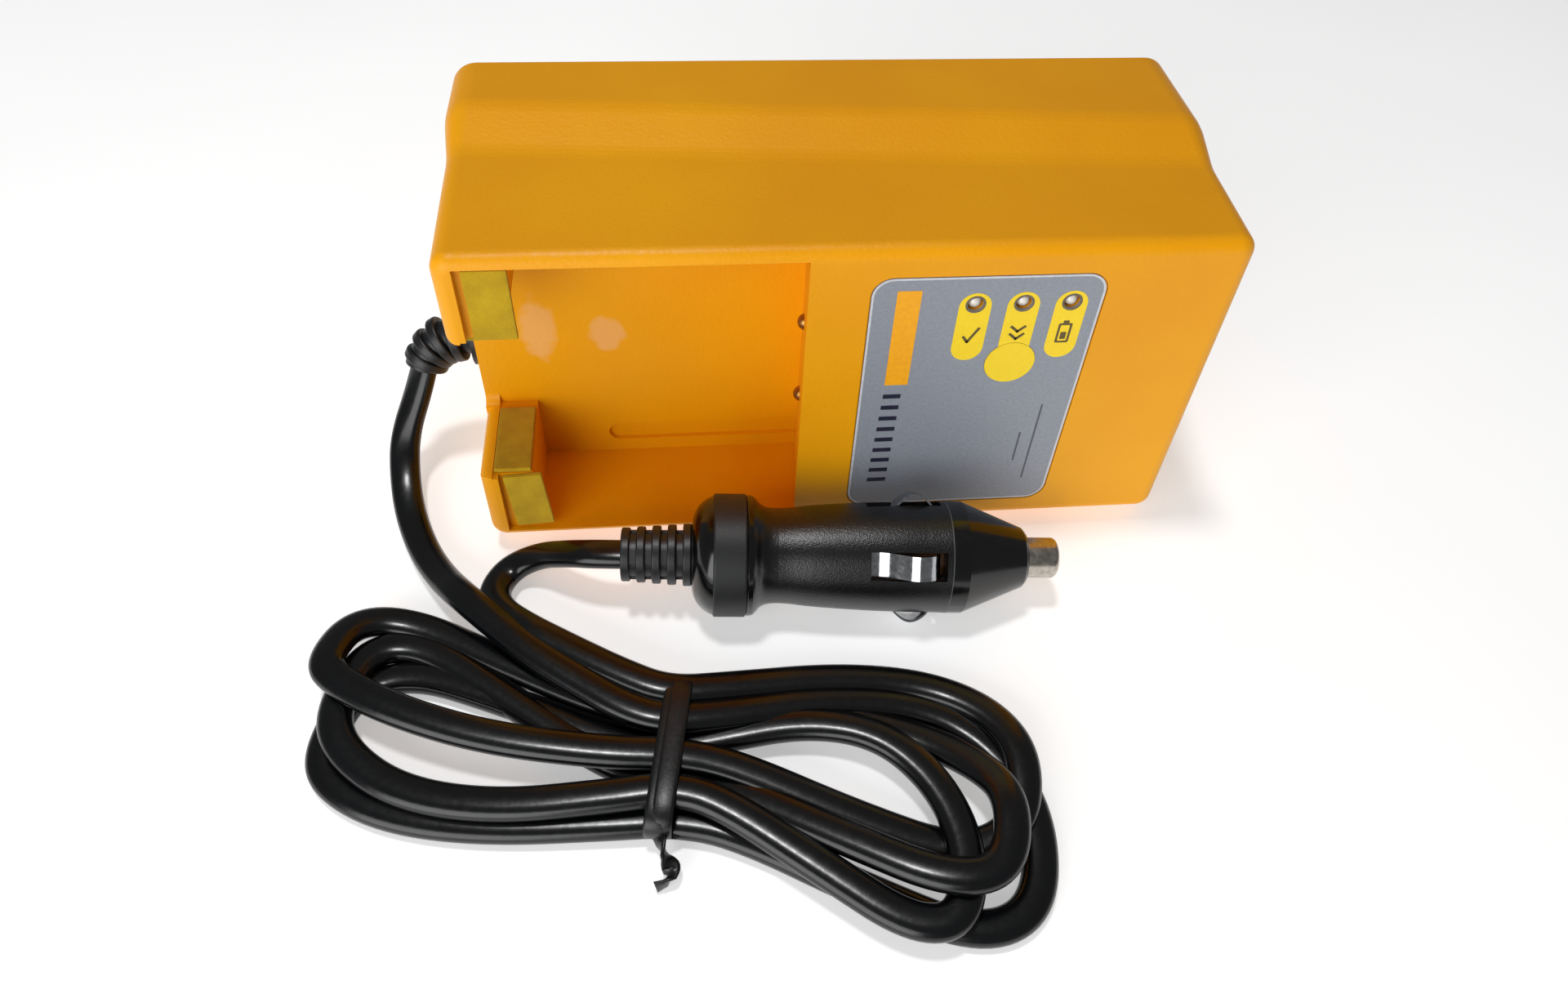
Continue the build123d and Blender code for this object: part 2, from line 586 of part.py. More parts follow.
def heat_sink():
    """Finned plate that stands on the board."""
    x0, z0 = board_place(SINK_AT)
    sink = box(x0, x0 + SINK_LENGTH, BOARD_BACK, BOARD_BACK + SINK_TALL, z0, z0 + SINK_WEB)
    pitch = (SINK_LENGTH - SINK_FIN) / (SINK_FINS - 1)
    for i in range(SINK_FINS):
        x = x0 + i * pitch
        sink += box(x, x + SINK_FIN, BOARD_BACK, BOARD_BACK + SINK_TALL, z0, z0 + SINK_DEEP)
    return sink


def power_transistor():
    """Power transistor against the web of the heat sink."""
    x0, z1 = board_place(SINK_AT)
    x0 += (SINK_LENGTH - TRANSISTOR[0]) / 2
    foot = BOARD_BACK + TRANSISTOR_FOOT
    body = box(x0, x0 + TRANSISTOR[0], foot, foot + TRANSISTOR[1], z1 - TRANSISTOR[2], z1)
    for i in (-1, 0, 1):
        x = x0 + TRANSISTOR[0] / 2 + i * LEG_PITCH
        z = z1 - TRANSISTOR[2] / 2
        body += box(x - LEG[0] / 2, x + LEG[0] / 2, BOARD_BACK, foot, z - LEG[1] / 2, z + LEG[1] / 2)
    return body


def control_chip():
    """Charge controller, a flat package with two rows of leads."""
    x, z = board_place(CHIP_AT)
    half = CHIP[2] / 2
    foot = BOARD_BACK + CHIP_FOOT
    chip = box(x - CHIP[0] / 2, x + CHIP[0] / 2, foot, BOARD_BACK + CHIP[1], z - half, z + half)
    pitch = CHIP[0] / CHIP_LEADS
    for i in range(CHIP_LEADS):
        lead_x = x - CHIP[0] / 2 + (i + 0.5) * pitch
        chip += box(lead_x - CHIP_LEAD / 2, lead_x + CHIP_LEAD / 2, BOARD_BACK, BOARD_BACK + CHIP_LEAD_H,
                    z - half - CHIP_LEAD_OUT, z + half + CHIP_LEAD_OUT)
    return chip


def terminal_corner():
    """Lower left corner of the screw terminal on the board, X and Z."""
    return board_place(TERMINAL_AT)


def wire_hole(fraction):
    """Centre of one of the terminal's two wire holes, X and Z."""
    x0, z0 = terminal_corner()
    return x0 + TERMINAL[0] / 2, z0 + TERMINAL[2] * fraction


def wire_terminal():
    """Screw terminal where the cord's two wires end."""
    x0, z0 = terminal_corner()
    top = BOARD_BACK + TERMINAL[1]
    block = box(x0, x0 + TERMINAL[0], BOARD_BACK, top, z0, z0 + TERMINAL[2])
    for fraction in (0.25, 0.75):
        x, z = wire_hole(fraction)
        block -= rod_y(x, z, top - WIRE_HOLE, top + 1, WIRE_D / 2 + WIRE_CLEAR)
    return block


def inner_wire(fraction):
    """One of the cord's two cores, from the gland behind the bay to the terminal."""
    x_end, z_end = wire_hole(fraction)
    y_end = BOARD_BACK + TERMINAL[1] - WIRE_HOLE
    x_start = LEFT_X + GLAND_INSIDE
    z_start = GLAND_Z + (fraction - 0.5) * 2 * WIRE_SPREAD
    y_run = FLOOR_Y + FLOOR_WALL + WIRE_ABOVE
    points = [(x_start, GLAND_Y, z_start), (x_start + 8, GLAND_Y, z_start),
              (x_start + 20, y_run, z_start + 1.5),
              (PARTITION_X, y_run + 1, z_end - 2), (x_end - 6, y_run - 1, z_end - 0.6),
              (x_end, y_run - 8, z_end), (x_end, y_end, z_end)]
    return tube(points, WIRE_D / 2)


# ---------------------------------------------------------------- battery contacts
def contact_carrier():
    """Moulded carrier behind the contact wall, with a pocket for each contact's spring."""
    spread = CONTACT_PITCH / 2 + CARRIER_SIDE / 2
    block = box(PARTITION_X, CARRIER_X, CONTACT_Y - CARRIER_SIDE / 2, CONTACT_Y + CARRIER_SIDE / 2,
                MID_Z - spread, MID_Z + spread)
    for z in CONTACT_ZS.values():
        block -= rod_x(CONTACT_Y, z, PARTITION_X - 1, CARRIER_X - CARRIER_BACK, FLANGE_D / 2 + CONTACT_CLEAR)
    return block


def battery_contact(z):
    """Domed pin through the contact wall, with a flange behind it."""
    radius = CONTACT_D / 2
    front = CONTACT_WALL - CONTACT_PROUD
    pin = rod_x(CONTACT_Y, z, front + radius, PARTITION_X + CONTACT_CLEAR, radius)
    pin += Pos(front + radius, CONTACT_Y, z) * Sphere(radius)
    flange_x = PARTITION_X + CONTACT_CLEAR
    pin += rod_x(CONTACT_Y, z, flange_x, flange_x + FLANGE_THICK, FLANGE_D / 2)
    return pin


def coil_spring(x0, x1, y, z, radius, turns):
    """A helical spring along X between two seats."""
    half = SPRING_WIRE / 2
    pitch = (x1 - x0 - SPRING_WIRE) / turns
    path = Helix(pitch, pitch * turns, radius)
    start = path @ 0
    wire = sweep(Plane(origin=start, z_dir=path % 0) * Circle(half), path, is_frenet=True)
    return Pos(x0 + half, y, z) * Rot(0, 90, 0) * wire


def contact_spring(z):
    """Shown pressed, the length it has when its contact is home."""
    x0 = PARTITION_X + CONTACT_CLEAR + FLANGE_THICK + CONTACT_TRAVEL + SPRING_CLEAR
    return coil_spring(x0, CARRIER_X - CARRIER_BACK, CONTACT_Y, z, CONTACT_D / 2 + SPRING_CLEAR, SPRING_TURNS)


# ---------------------------------------------------------------- friction pads
def pads():
    """Felt pads on the corner blocks: two on their faces, two on the sides that face each other."""
    face = FACE_Y + PAD_RECESS - PAD_THICK
    x0 = BAY_X0 + PAD_MARGIN
    x1 = x0 + PAD_LENGTH
    side_x0 = BAY_X0 + PAD_SIDE_MARGIN
    side_x1 = BAY_X0 + BLOCK_WIDTH - PAD_SIDE_MARGIN
    low_top = NOTCH_Z0 - BLOCK_GAP
    high_low = NOTCH_Z1 + BLOCK_GAP
    side_y = FACE_Y + PAD_RECESS + PAD_SIDE_MARGIN
    return {
        "pad_face_upper": box(x0, x1, face, face + PAD_THICK, high_low, high_low + PAD_HEIGHT),
        "pad_face_lower": box(x0, x1, face, face + PAD_THICK, low_top - PAD_HEIGHT, low_top),
        "pad_side_upper": box(side_x0, side_x1, side_y, side_y + PAD_SIDE_DEEP,
                              high_low - PAD_THICK, high_low),
        "pad_side_lower": box(side_x0, side_x1, side_y, side_y + PAD_SIDE_DEEP,
                              low_top, low_top + PAD_THICK),
    }


# ---------------------------------------------------------------- cord
def corner_radius(before, point, after):
    """The largest tangent arc that both runs leave room for, and the turn in degrees."""
    first = Vector(*point) - Vector(*before)
    second = Vector(*after) - Vector(*point)
    turn = first.get_angle(second)
    return 0.45 * min(first.length, second.length) / tan(radians(turn) / 2), turn


def route(points):
    """Straight runs joined by tangent arcs."""
    radii = [corner_radius(*points[i:i + 3])[0] for i in range(len(points) - 2)]
    if len(points) == 2:
        return Line(*points)
    return FilletPolyline(*points, radius=radii)


def tube(points, radius):
    path = route(points)
    return sweep(Plane(origin=path @ 0, z_dir=path % 0) * Circle(radius), path)


def report_route(name, points, radius, solid):
    """Print a route's bends, and its tube's volume beside section times length."""
    bends = [corner_radius(*points[i:i + 3]) for i in range(len(points) - 2)]
    length = route(points).length
    print(name, "length", round(length, 1), "radii", [round(r, 1) for r, _ in bends],
          "turns", [round(t) for _, t in bends],
          "volume ratio", round(solid.volume / (pi * radius ** 2 * length), 4))


def place(x, y, z):
    """A point from the lower left corner of the face: X right, Y towards the back, Z up."""
    return (LEFT_X + x, FACE_Y + y, z)


def gland_path():
    """Axis of the relief, straight out of the end and then drooping forward."""
    start = Vector(GLAND_X, GLAND_Y, GLAND_Z)
    knee = start - Vector(GLAND_COLLAR + GLAND_STRAIGHT, 0, 0)
    down = Vector(0, -sin(radians(GLAND_LEAN)), -cos(radians(GLAND_LEAN)))

    def along(angle):
        sink = GLAND_BEND_R * (1 - cos(radians(angle)))
        return knee - Vector(GLAND_BEND_R * sin(radians(angle)), 0, 0) + down * sink

    bend = ThreePointArc(knee, along(GLAND_BEND / 2), along(GLAND_BEND))
    return Wire([Line(start, knee).edge(), bend.edge()])


def cable_gland():
    """Moulded relief: a core along the bend, graded rings, a collar and a foot inside the wall."""
    path = gland_path()
    core = sweep(Plane(origin=path @ 0, z_dir=path % 0) * Circle(GLAND_TIP_D / 2), path)
    for i in range(GLAND_RINGS):
        at = GLAND_RING_FIRST + (1 - GLAND_RING_FIRST) * i / (GLAND_RINGS - GLAND_RING_END)
        radius = (GLAND_D + (GLAND_TIP_D + 1.2 - GLAND_D) * i / (GLAND_RINGS - 1)) / 2
        ring = Plane(origin=path @ at, z_dir=path % at) * Cylinder(radius, GLAND_RING)
        core += fillet(ring.edges().filter_by(GeomType.CIRCLE), GLAND_RING * 0.25)
    core += rod_x(GLAND_Y, GLAND_Z, GLAND_X - GLAND_COLLAR, GLAND_X + GLAND_SEAT, GLAND_COLLAR_D / 2)
    core += rod_x(GLAND_Y, GLAND_Z, LEFT_X + GLAND_GRIP, LEFT_X + GLAND_INSIDE, GLAND_COLLAR_D / 2)
    return core + rod_x(GLAND_Y, GLAND_Z, GLAND_X, LEFT_X + GLAND_INSIDE, GLAND_D / 2 - GLAND_CLEAR)


def lead_points():
    """From the relief's tip down to the surface, forward, and up onto the hank."""
    tip = gland_path() @ 1
    out = tip + (gland_path() % 1) * LEAD_OUT
    return [tuple(tip), tuple(out)] + [place(*p) for p in LEAD_ROUTE]


def plug_lead_points():
    """From the plug's relief round and back onto the hank."""
    tail = plug_at(-RELIEF_LENGTH)
    out = plug_at(-RELIEF_LENGTH - LEAD_OUT)
    return [tuple(tail), tuple(out)] + [place(*p) for p in PLUG_LEAD_ROUTE]


def hank():
    """Outer shape of the tied turns: two lobes and the waist at the tie."""
    lobes = [place(*HANK_LEFT, 0), place(*HANK_RIGHT, 0)]
    left = Pos(*lobes[0]) * Rot(0, 0, HANK_LEFT_TURN) * Ellipse(*HANK_LEFT_R)
    right = Pos(*lobes[1]) * Rot(0, 0, HANK_RIGHT_TURN) * Ellipse(*HANK_RIGHT_R)
    waist = Pos(LEFT_X + TIE_X, FACE_Y + (TIE_FRONT + TIE_BACK) / 2) * Rectangle(
        2 * TIE_WIDTH, TIE_BACK - TIE_FRONT - 2 * TIE_THICK)
    shape = extrude(left + right + waist, HANK_HEIGHT)
    x0 = LEFT_X + TIE_X - TIE_WIDTH / 2
    shape -= box(x0, x0 + TIE_WIDTH, FACE_Y + TIE_BACK - TIE_THICK, FACE_Y, -1, BIG)
    shape -= box(x0, x0 + TIE_WIDTH, -BIG, FACE_Y + TIE_FRONT + TIE_THICK, -1, BIG)
    return Pos(0, 0, HANK_UNDER) * shape


def cord_tie():
    """Twist tie round the waist, with its twisted tail on the surface."""
    x = LEFT_X + TIE_X
    y0 = FACE_Y + TIE_FRONT
    y1 = FACE_Y + TIE_BACK
    top = HANK_UNDER + HANK_HEIGHT
    band = box(x - TIE_WIDTH / 2, x + TIE_WIDTH / 2, y0, y1, HANK_UNDER - TIE_THICK, top + TIE_THICK)
    band -= box(x - TIE_WIDTH, x + TIE_WIDTH, y0 + TIE_THICK, y1 - TIE_THICK, HANK_UNDER, top)
    return band + box(x - TIE_WIDTH, x + 1, y0 - TIE_TAIL, y0 + TIE_THICK, HANK_UNDER - TIE_THICK, TIE_TAIL_H)


# ---------------------------------------------------------------- plug
def plug_frame():
    """The plug lies on its shoulder and its barrel, so its axis dips towards the tip."""
    drop = degrees(asin((BULB_R - NOSE_R) / (BARREL_END + NOSE_STRAIGHT - BAND_END)))
    x, y = PLUG_REAR
    rest = BULB_R * cos(radians(drop)) + BAND_END * sin(radians(drop))
    return Pos(*place(x, y, rest)) * Rot(0, 0, PLUG_YAW) * Rot(0, drop, 0)


def plug_at(u, side=0.0, up=0.0):
    """A point given along the plug's axis."""
    return (plug_frame() * Pos(u, side, up)).position


def turned(points):
    """A solid of revolution about the plug's axis from (u, radius) points."""
    return revolve(make_face(Polyline(*points, close=True)), Axis.X)


def barrel_radius(u):
    """Outside of the plug's barrel, which swells from its neck to the nose."""
    share = min(max((u - NECK_AT) / (BARREL_FULL - NECK_AT), 0.0), 1.0)
    return NECK_R + (BARREL_R - NECK_R) * sin(share * pi / 2)


def bore(u0, u1, radius):
    return rod_x(0, 0, u0, u1, radius)


def plug_body():
    """Moulded barrel with its round shoulder, windows for the clips and a stepped bore."""
    swell = [(u, barrel_radius(u)) for u in (NECK_AT, 21.0, 27.0, 33.0, 39.0, BARREL_FULL)]
    edges = [
        Line((0, 0), (0, RELIEF_ROOT_R)),
        ThreePointArc((0, RELIEF_ROOT_R), (1.3, 9.2), (BAND_START, BULB_R - 0.35)),
        Polyline((BAND_START, BULB_R - 0.35), (BAND_START, BULB_R - BAND_THICK),
                 (BAND_END, BULB_R - BAND_THICK), (BAND_END, BULB_R - 0.35)),
        Polyline((BAND_END, BULB_R - 0.35), (BAND_END + 0.3, BULB_R - 0.15), (LIP_END - 0.5, BULB_R - 0.3)),
        Spline((LIP_END - 0.5, BULB_R - 0.3), (LIP_END + 0.9, BULB_R - 1.7), (NECK_AT, NECK_R),
               tangents=((0.9, -0.5), (1, 0))),
        Spline(*swell, tangents=((1, 0), (1, 0))),
        Line(swell[-1], (BARREL_END, BARREL_END_R)),
        Polyline((BARREL_END, BARREL_END_R), (BARREL_END, 0), (0, 0)),
    ]
    solid = revolve(make_face(edges), Axis.X)
    solid -= bore(RING_START - 0.1, BARREL_END + 1, PLUG_BORE_R)
    solid -= bore(CORE_START, RING_START + 1, PLUG_CORE_R)
    solid -= bore(-1, RELIEF_FOOT, RELIEF_CORE_R)
    solid -= bore(RELIEF_FOOT - 1, CORE_START + 1, CORD_D / 2)
    for i in range(CLIP_COUNT):
        window = box(WINDOW_START, WINDOW_END, -WINDOW_WIDTH / 2, WINDOW_WIDTH / 2, PLUG_CORE_R, 2 * BARREL_R)
        solid -= Rot(clip_angle(i), 0, 0) * window
    return plug_frame() * solid


def clip_angle(i):
    """Turn about the plug's axis that brings a clip from straight up to its place."""
    return 90.0 - CLIP_FIRST + 360.0 / CLIP_COUNT * i


def plug_grip_band():
    """Soft ring round the shoulder."""
    ring = bore(BAND_START, BAND_END, BULB_R) - bore(BAND_START, BAND_END, BULB_R - BAND_THICK)
    outer = [e for e in ring.edges().filter_by(GeomType.CIRCLE) if e.radius > BULB_R - 0.1]
    return plug_frame() * fillet(outer, 0.4)


def plug_strain_relief():
    """Segmented relief: rings on four ribs round a thin core."""
    solid = bore(-RELIEF_LENGTH, RELIEF_FOOT, RELIEF_CORE_R)
    pitch = (RELIEF_LENGTH - RELIEF_RING) / RELIEF_RINGS
    for i in range(RELIEF_RINGS + 1):
        u = -RELIEF_LENGTH + i * pitch
        radius = RELIEF_END_R + (RELIEF_ROOT_R - RELIEF_END_R) * i / RELIEF_RINGS
        width = RELIEF_RING if i < RELIEF_RINGS else -u
        ring = bore(u, u + width, radius)
        solid += fillet(ring.edges().filter_by(GeomType.CIRCLE), RELIEF_ROUND)
    rib_r = RELIEF_END_R - RELIEF_RIB_SUNK
    for turn in (45, 135):
        rib = box(-RELIEF_LENGTH + RELIEF_ROUND, -RELIEF_ROUND, -rib_r, rib_r,
                  -RELIEF_RIB / 2, RELIEF_RIB / 2)
        solid += Rot(turn, 0, 0) * rib
    return plug_frame() * solid


def plug_nose_cap():
    """Screw-on cap that holds the tip."""
    straight = BARREL_END + NOSE_STRAIGHT
    solid = turned([(BARREL_END, 0), (BARREL_END, NOSE_R), (straight, NOSE_R),
                    (NOSE_END - NOSE_EDGE, NOSE_END_R), (NOSE_END, NOSE_END_R - NOSE_EDGE), (NOSE_END, 0)])
    solid += bore(BARREL_END - NOSE_SPIGOT, BARREL_END, PLUG_BORE_R - PLUG_CLEAR)
    solid -= bore(BARREL_END - NOSE_SPIGOT - 1, NOSE_END - NOSE_LIP, TIP_FLANGE_R + PLUG_CLEAR)
    solid -= bore(NOSE_END - NOSE_LIP - 1, NOSE_END + 1, TIP_R + TIP_CLEAR)
    return plug_frame() * solid


def plug_tip():
    """Centre contact with a flange that the cap keeps in."""
    flange_end = NOSE_END - NOSE_LIP - TIP_GAP
    pin = bore(flange_end, TIP_END, TIP_R)
    pin = fillet(pin.edges().group_by(Axis.X)[-1], TIP_ROUND)
    return plug_frame() * (pin + bore(FUSE_END, flange_end, TIP_FLANGE_R))


def plug_fuse_caps():
    """Metal caps on the fuse."""
    caps = []
    for u in (FUSE_END - FUSE_LENGTH, FUSE_END - FUSE_CAP):
        caps.append(plug_frame() * (bore(u, u + FUSE_CAP, FUSE_R)))
    return caps


def plug_fuse():
    """Cartridge fuse: a glass tube between two metal caps."""
    start = FUSE_END - FUSE_LENGTH
    glass = bore(start + FUSE_CAP, FUSE_END - FUSE_CAP, FUSE_R - FUSE_GLASS_LESS)
    return plug_frame() * glass


def plug_spring():
    """Spring behind the fuse, shown as long as it is with the tip pressed in."""
    start = CORE_START + DISC_THICK + SPRING_CLEAR
    end = FUSE_END - FUSE_LENGTH - TIP_TRAVEL - FUSE_SPRING_GAP
    return plug_frame() * coil_spring(start, end, 0, 0, FUSE_R - FUSE_SPRING_LESS, FUSE_SPRING_TURNS)


def plug_fuse_sleeve():
    """Insulating sleeve that guides the fuse."""
    start = CORE_START + DISC_THICK + SLEEVE_GAP
    inside = bore(start - 1, SLEEVE_END + 1, FUSE_R + PLUG_CLEAR)
    return plug_frame() * (bore(start, SLEEVE_END, PLUG_CORE_R - SLEEVE_CLEAR) - inside)


def plug_rear_contact():
    """Disc that the spring stands on, where the cord's positive core is soldered."""
    return plug_frame() * bore(CORE_START, CORE_START + DISC_THICK, PLUG_CORE_R - DISC_CLEAR)


def plug_ground_ring():
    """Sheet metal ring inside the barrel that carries the clips."""
    ring = bore(RING_START, WINDOW_START - RING_SHORT, PLUG_BORE_R - DISC_CLEAR)
    return plug_frame() * (ring - bore(RING_START - 1, WINDOW_START + 1, PLUG_BORE_R - RING_THICK))


def ground_clip(i):
    """A leaf that bows out through its window and curls in at its free end."""
    low = PLUG_BORE_R - CLIP_THICK - CLIP_SUNK
    crest = NOSE_R + CLIP_PROUD
    outer = [(WINDOW_START + CLIP_FOOT, low), (WINDOW_START + CLIP_RISE_AT, low + CLIP_RISE),
             (WINDOW_START + CLIP_CREST_AT, crest), (WINDOW_START + CLIP_FALL_AT, crest - CLIP_FALL),
             (WINDOW_END - CLIP_END, low + CLIP_END_RISE)]
    inner = [(u, radius - CLIP_THICK) for u, radius in outer]
    inner[-1] = (outer[-1][0] - CLIP_THICK, outer[-1][1])
    edges = [Spline(*outer), Line(outer[-1], inner[-1]), Spline(*inner[::-1]), Line(inner[0], outer[0])]
    strip = extrude(Plane.XY * make_face(edges), CLIP_WIDTH / 2, both=True)
    return plug_frame() * Rot(clip_angle(i) - 90, 0, 0) * strip


def hinge_place(i):
    """Where a clip bends, and the direction of its hinge line."""
    frame = plug_frame() * Rot(clip_angle(i) - 90, 0, 0)
    low = PLUG_BORE_R - CLIP_THICK - CLIP_SUNK
    spot = (frame * Pos(WINDOW_START + CLIP_FOOT, low, 0)).position
    tip = (frame * Pos(WINDOW_START + CLIP_FOOT, low, 1)).position
    return spot, tip - spot


# ---------------------------------------------------------------- assembly
def build():
    nodes = {
        "housing": housing(),
        "base_plate": base_plate(),
        "base_screws": screws(base_bosses(), BACK_Y - SCREW_HEAD_H - SCREW_CLEAR, SCREW_D, SCREW_HEAD_D,
                              SCREW_HEAD_H, SCREW_LENGTH - PILOT_SPARE),
        "label_overlay": label_overlay(),
        "fast_key": fast_key(),
        "key_switch_body": switch_body(),
        "key_switch_plunger": switch_plunger(),
        "circuit_board": circuit_board(),
        "board_screws": screws(board_holes(), BOARD_BACK, BOARD_SCREW_D, BOARD_SCREW_HEAD_D,
                               BOARD_SCREW_HEAD_H, BOARD_SCREW_LENGTH - PILOT_SPARE / 2),
        "inductor": inductor(),
        "capacitors": capacitors(),
        "heat_sink": heat_sink(),
        "power_transistor": power_transistor(),
        "control_chip": control_chip(),
        "wire_terminal": wire_terminal(),
        "wire_positive": inner_wire(0.75),
        "wire_negative": inner_wire(0.25),
        "contact_carrier": contact_carrier(),
        "cable_gland": cable_gland(),
        "plug_strain_relief": plug_strain_relief(),
        "plug_body": plug_body(),
        "plug_grip_band": plug_grip_band(),
        "plug_nose_cap": plug_nose_cap(),
        "plug_tip": plug_tip(),
        "plug_fuse_glass": plug_fuse(),
        "plug_fuse_caps": Compound(plug_fuse_caps()),
        "plug_fuse_sleeve": plug_fuse_sleeve(),
        "plug_spring": plug_spring(),
        "plug_rear_contact": plug_rear_contact(),
        "plug_ground_ring": plug_ground_ring(),
        "cord_hank": hank(),
        "cord_tie": cord_tie(),
        **pads(),
    }
    for name, x in zip(("lamp_ready", "lamp_fast", "lamp_charge"), LAMP_X):
        nodes[name] = lamp(x)
    for name, z in CONTACT_ZS.items():
        nodes["battery_contact_" + name] = battery_contact(z)
        nodes["contact_spring_" + name] = contact_spring(z)
    for i in range(CLIP_COUNT):
        nodes["ground_clip_" + str(i + 1)] = ground_clip(i)
    for name, points in (("cord_lead", lead_points()), ("cord_plug_lead", plug_lead_points())):
        nodes[name] = tube(points, CORD_D / 2)
        report_route(name, points, CORD_D / 2, nodes[name])
    return nodes


os.makedirs("parts", exist_ok=True)
for node, shape in build().items():
    export_step(shape, os.path.join("parts", node + ".step"))
for i in range(CLIP_COUNT):
    spot, axis = hinge_place(i)
    print("clip", i + 1, [round(v, 3) for v in spot], [round(v, 5) for v in axis])
print("plug axis", [round(v, 5) for v in plug_at(1) - plug_at(0)])
print("nose", [round(v, 3) for v in plug_at(BARREL_END + NOSE_STRAIGHT / 2)])
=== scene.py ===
import bpy
import bmesh
from math import asin, cos, degrees, pi, radians, sin, sqrt
from mathutils import Matrix, Vector, noise


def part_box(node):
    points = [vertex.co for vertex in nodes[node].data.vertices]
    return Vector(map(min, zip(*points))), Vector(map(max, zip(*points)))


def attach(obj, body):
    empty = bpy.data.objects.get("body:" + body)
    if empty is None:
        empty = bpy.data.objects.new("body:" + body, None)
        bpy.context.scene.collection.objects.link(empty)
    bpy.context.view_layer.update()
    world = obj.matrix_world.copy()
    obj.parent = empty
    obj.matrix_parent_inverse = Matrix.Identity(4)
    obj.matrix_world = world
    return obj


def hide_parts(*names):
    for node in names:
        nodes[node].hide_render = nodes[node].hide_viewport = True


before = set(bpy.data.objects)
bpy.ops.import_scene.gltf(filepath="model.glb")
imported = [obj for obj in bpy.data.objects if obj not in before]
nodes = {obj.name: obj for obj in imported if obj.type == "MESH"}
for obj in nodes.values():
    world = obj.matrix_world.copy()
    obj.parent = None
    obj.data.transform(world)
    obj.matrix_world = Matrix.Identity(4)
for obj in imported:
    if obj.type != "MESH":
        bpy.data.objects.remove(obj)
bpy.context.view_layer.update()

# ---------------------------------------------------------------- camera
# It looks down on the face from the front, a little left of the middle, from a little nearer than one and a
# half times the charger's length.
MM = 0.001
view = bpy.data.cameras.new("camera")
view.lens = 25.03
view.sensor_width = 36.0
view.clip_start = 0.01
camera = bpy.data.objects.new("camera", view)
across = Vector((0.99490, -0.09321, 0.03862))
upward = Vector((0.04411, 0.74611, 0.66436))
backward = across.cross(upward).normalized()
turn = Matrix((across, upward, backward)).transposed().to_4x4()
camera.matrix_world = Matrix.Translation(Vector((-28.69, -167.38, 168.63)) * MM) @ turn
bpy.context.scene.collection.objects.link(camera)
bpy.context.scene.camera = camera


# ---------------------------------------------------------------- cord
# Two-core figure-eight lead in soft black PVC, extruded as one flat oval. It leaves the relief on the
# charger's left end, is folded into a hank under a tie, and ends in the plug. It lies on its wide side all
# the way.
CORD_WIDE = 5.9
CORD_THIN = 3.7
TIE_AT = -33.0


def link(piece):
    """Puts a new object in the scene."""
    bpy.context.scene.collection.objects.link(piece)
    return piece


def linear(code):
    """An sRGB hex colour as linear RGBA."""
    channels = [int(code[i:i + 2], 16) / 255 for i in (1, 3, 5)]
    return [c / 12.92 if c <= 0.04045 else ((c + 0.055) / 1.055) ** 2.4 for c in channels] + [1.0]


def add(tree, kind, inputs=None, **settings):
    """A shader node with its settings, and its inputs set or linked."""
    made = tree.nodes.new(kind)
    for name, value in settings.items():
        setattr(made, name, value)
    for name, value in (inputs or {}).items():
        if isinstance(value, bpy.types.NodeSocket):
            tree.links.new(value, made.inputs[name])
        else:
            made.inputs[name].default_value = value
    return made


def finish(name, **sockets):
    """A new material and its principled shader, with constant values on the shader's own sockets."""
    made = bpy.data.materials.new(name)
    made.use_nodes = True
    shader = made.node_tree.nodes["Principled BSDF"]
    for socket, value in sockets.items():
        shader.inputs[socket.replace("_", " ")].default_value = value
    return made, made.node_tree, shader


def stops(ramp, *pairs):
    """Sets a colour ramp's stops from (position, colour) pairs."""
    while len(ramp.elements) > len(pairs):
        ramp.elements.remove(ramp.elements[-1])
    while len(ramp.elements) < len(pairs):
        ramp.elements.new(1.0)
    for element, (position, colour) in zip(ramp.elements, pairs):
        element.position = position
        element.color = colour


# where each strand lies as it goes through the tie: Y and Z, in two rows
SLOT = {
    "lead": (-72.0, 6.6), "outer near": (-88.0, 2.7), "inner far": (-75.0, 2.7),
    "inner near": (-84.5, 6.6), "middle near": (-81.5, 2.7), "middle far": (-69.0, 2.7),
    "last near": (-78.3, 6.6), "plug lead": (-66.5, 6.6),
}
# each loop of the hank in turn: side, reach from the tie, where it enters and leaves the tie, Y of its far
# end, how far its two sides bulge, and its height on the way out, at its end and on the way back
LOOPS = (
    (1, 60.0, "lead", "outer near", -92.5, 15.5, -22.5, (2.0, 2.0, 2.0)),
    (-1, 58.2, "outer near", "inner far", -72.0, -6.0, 19.0, (2.0, 2.0, 2.0)),
    (1, 46.5, "inner far", "inner near", -97.5, 13.5, -19.5, (5.4, 5.6, 5.4)),
    (-1, 56.5, "inner near", "middle near", -66.0, -9.0, 24.0, (5.0, 5.2, 2.4)),
    (1, 54.5, "middle near", "middle far", -91.5, -19.0, 7.0, (8.8, 8.8, 2.4)),
    (-1, 59.0, "middle far", "last near", -57.0, 17.5, -2.4, (2.4, 7.6, 8.2)),
    (1, 59.5, "last near", "plug lead", -82.5, -19.0, 11.5, (2.2, 5.2, 2.2)),
)
LOOP_POINTS = 9


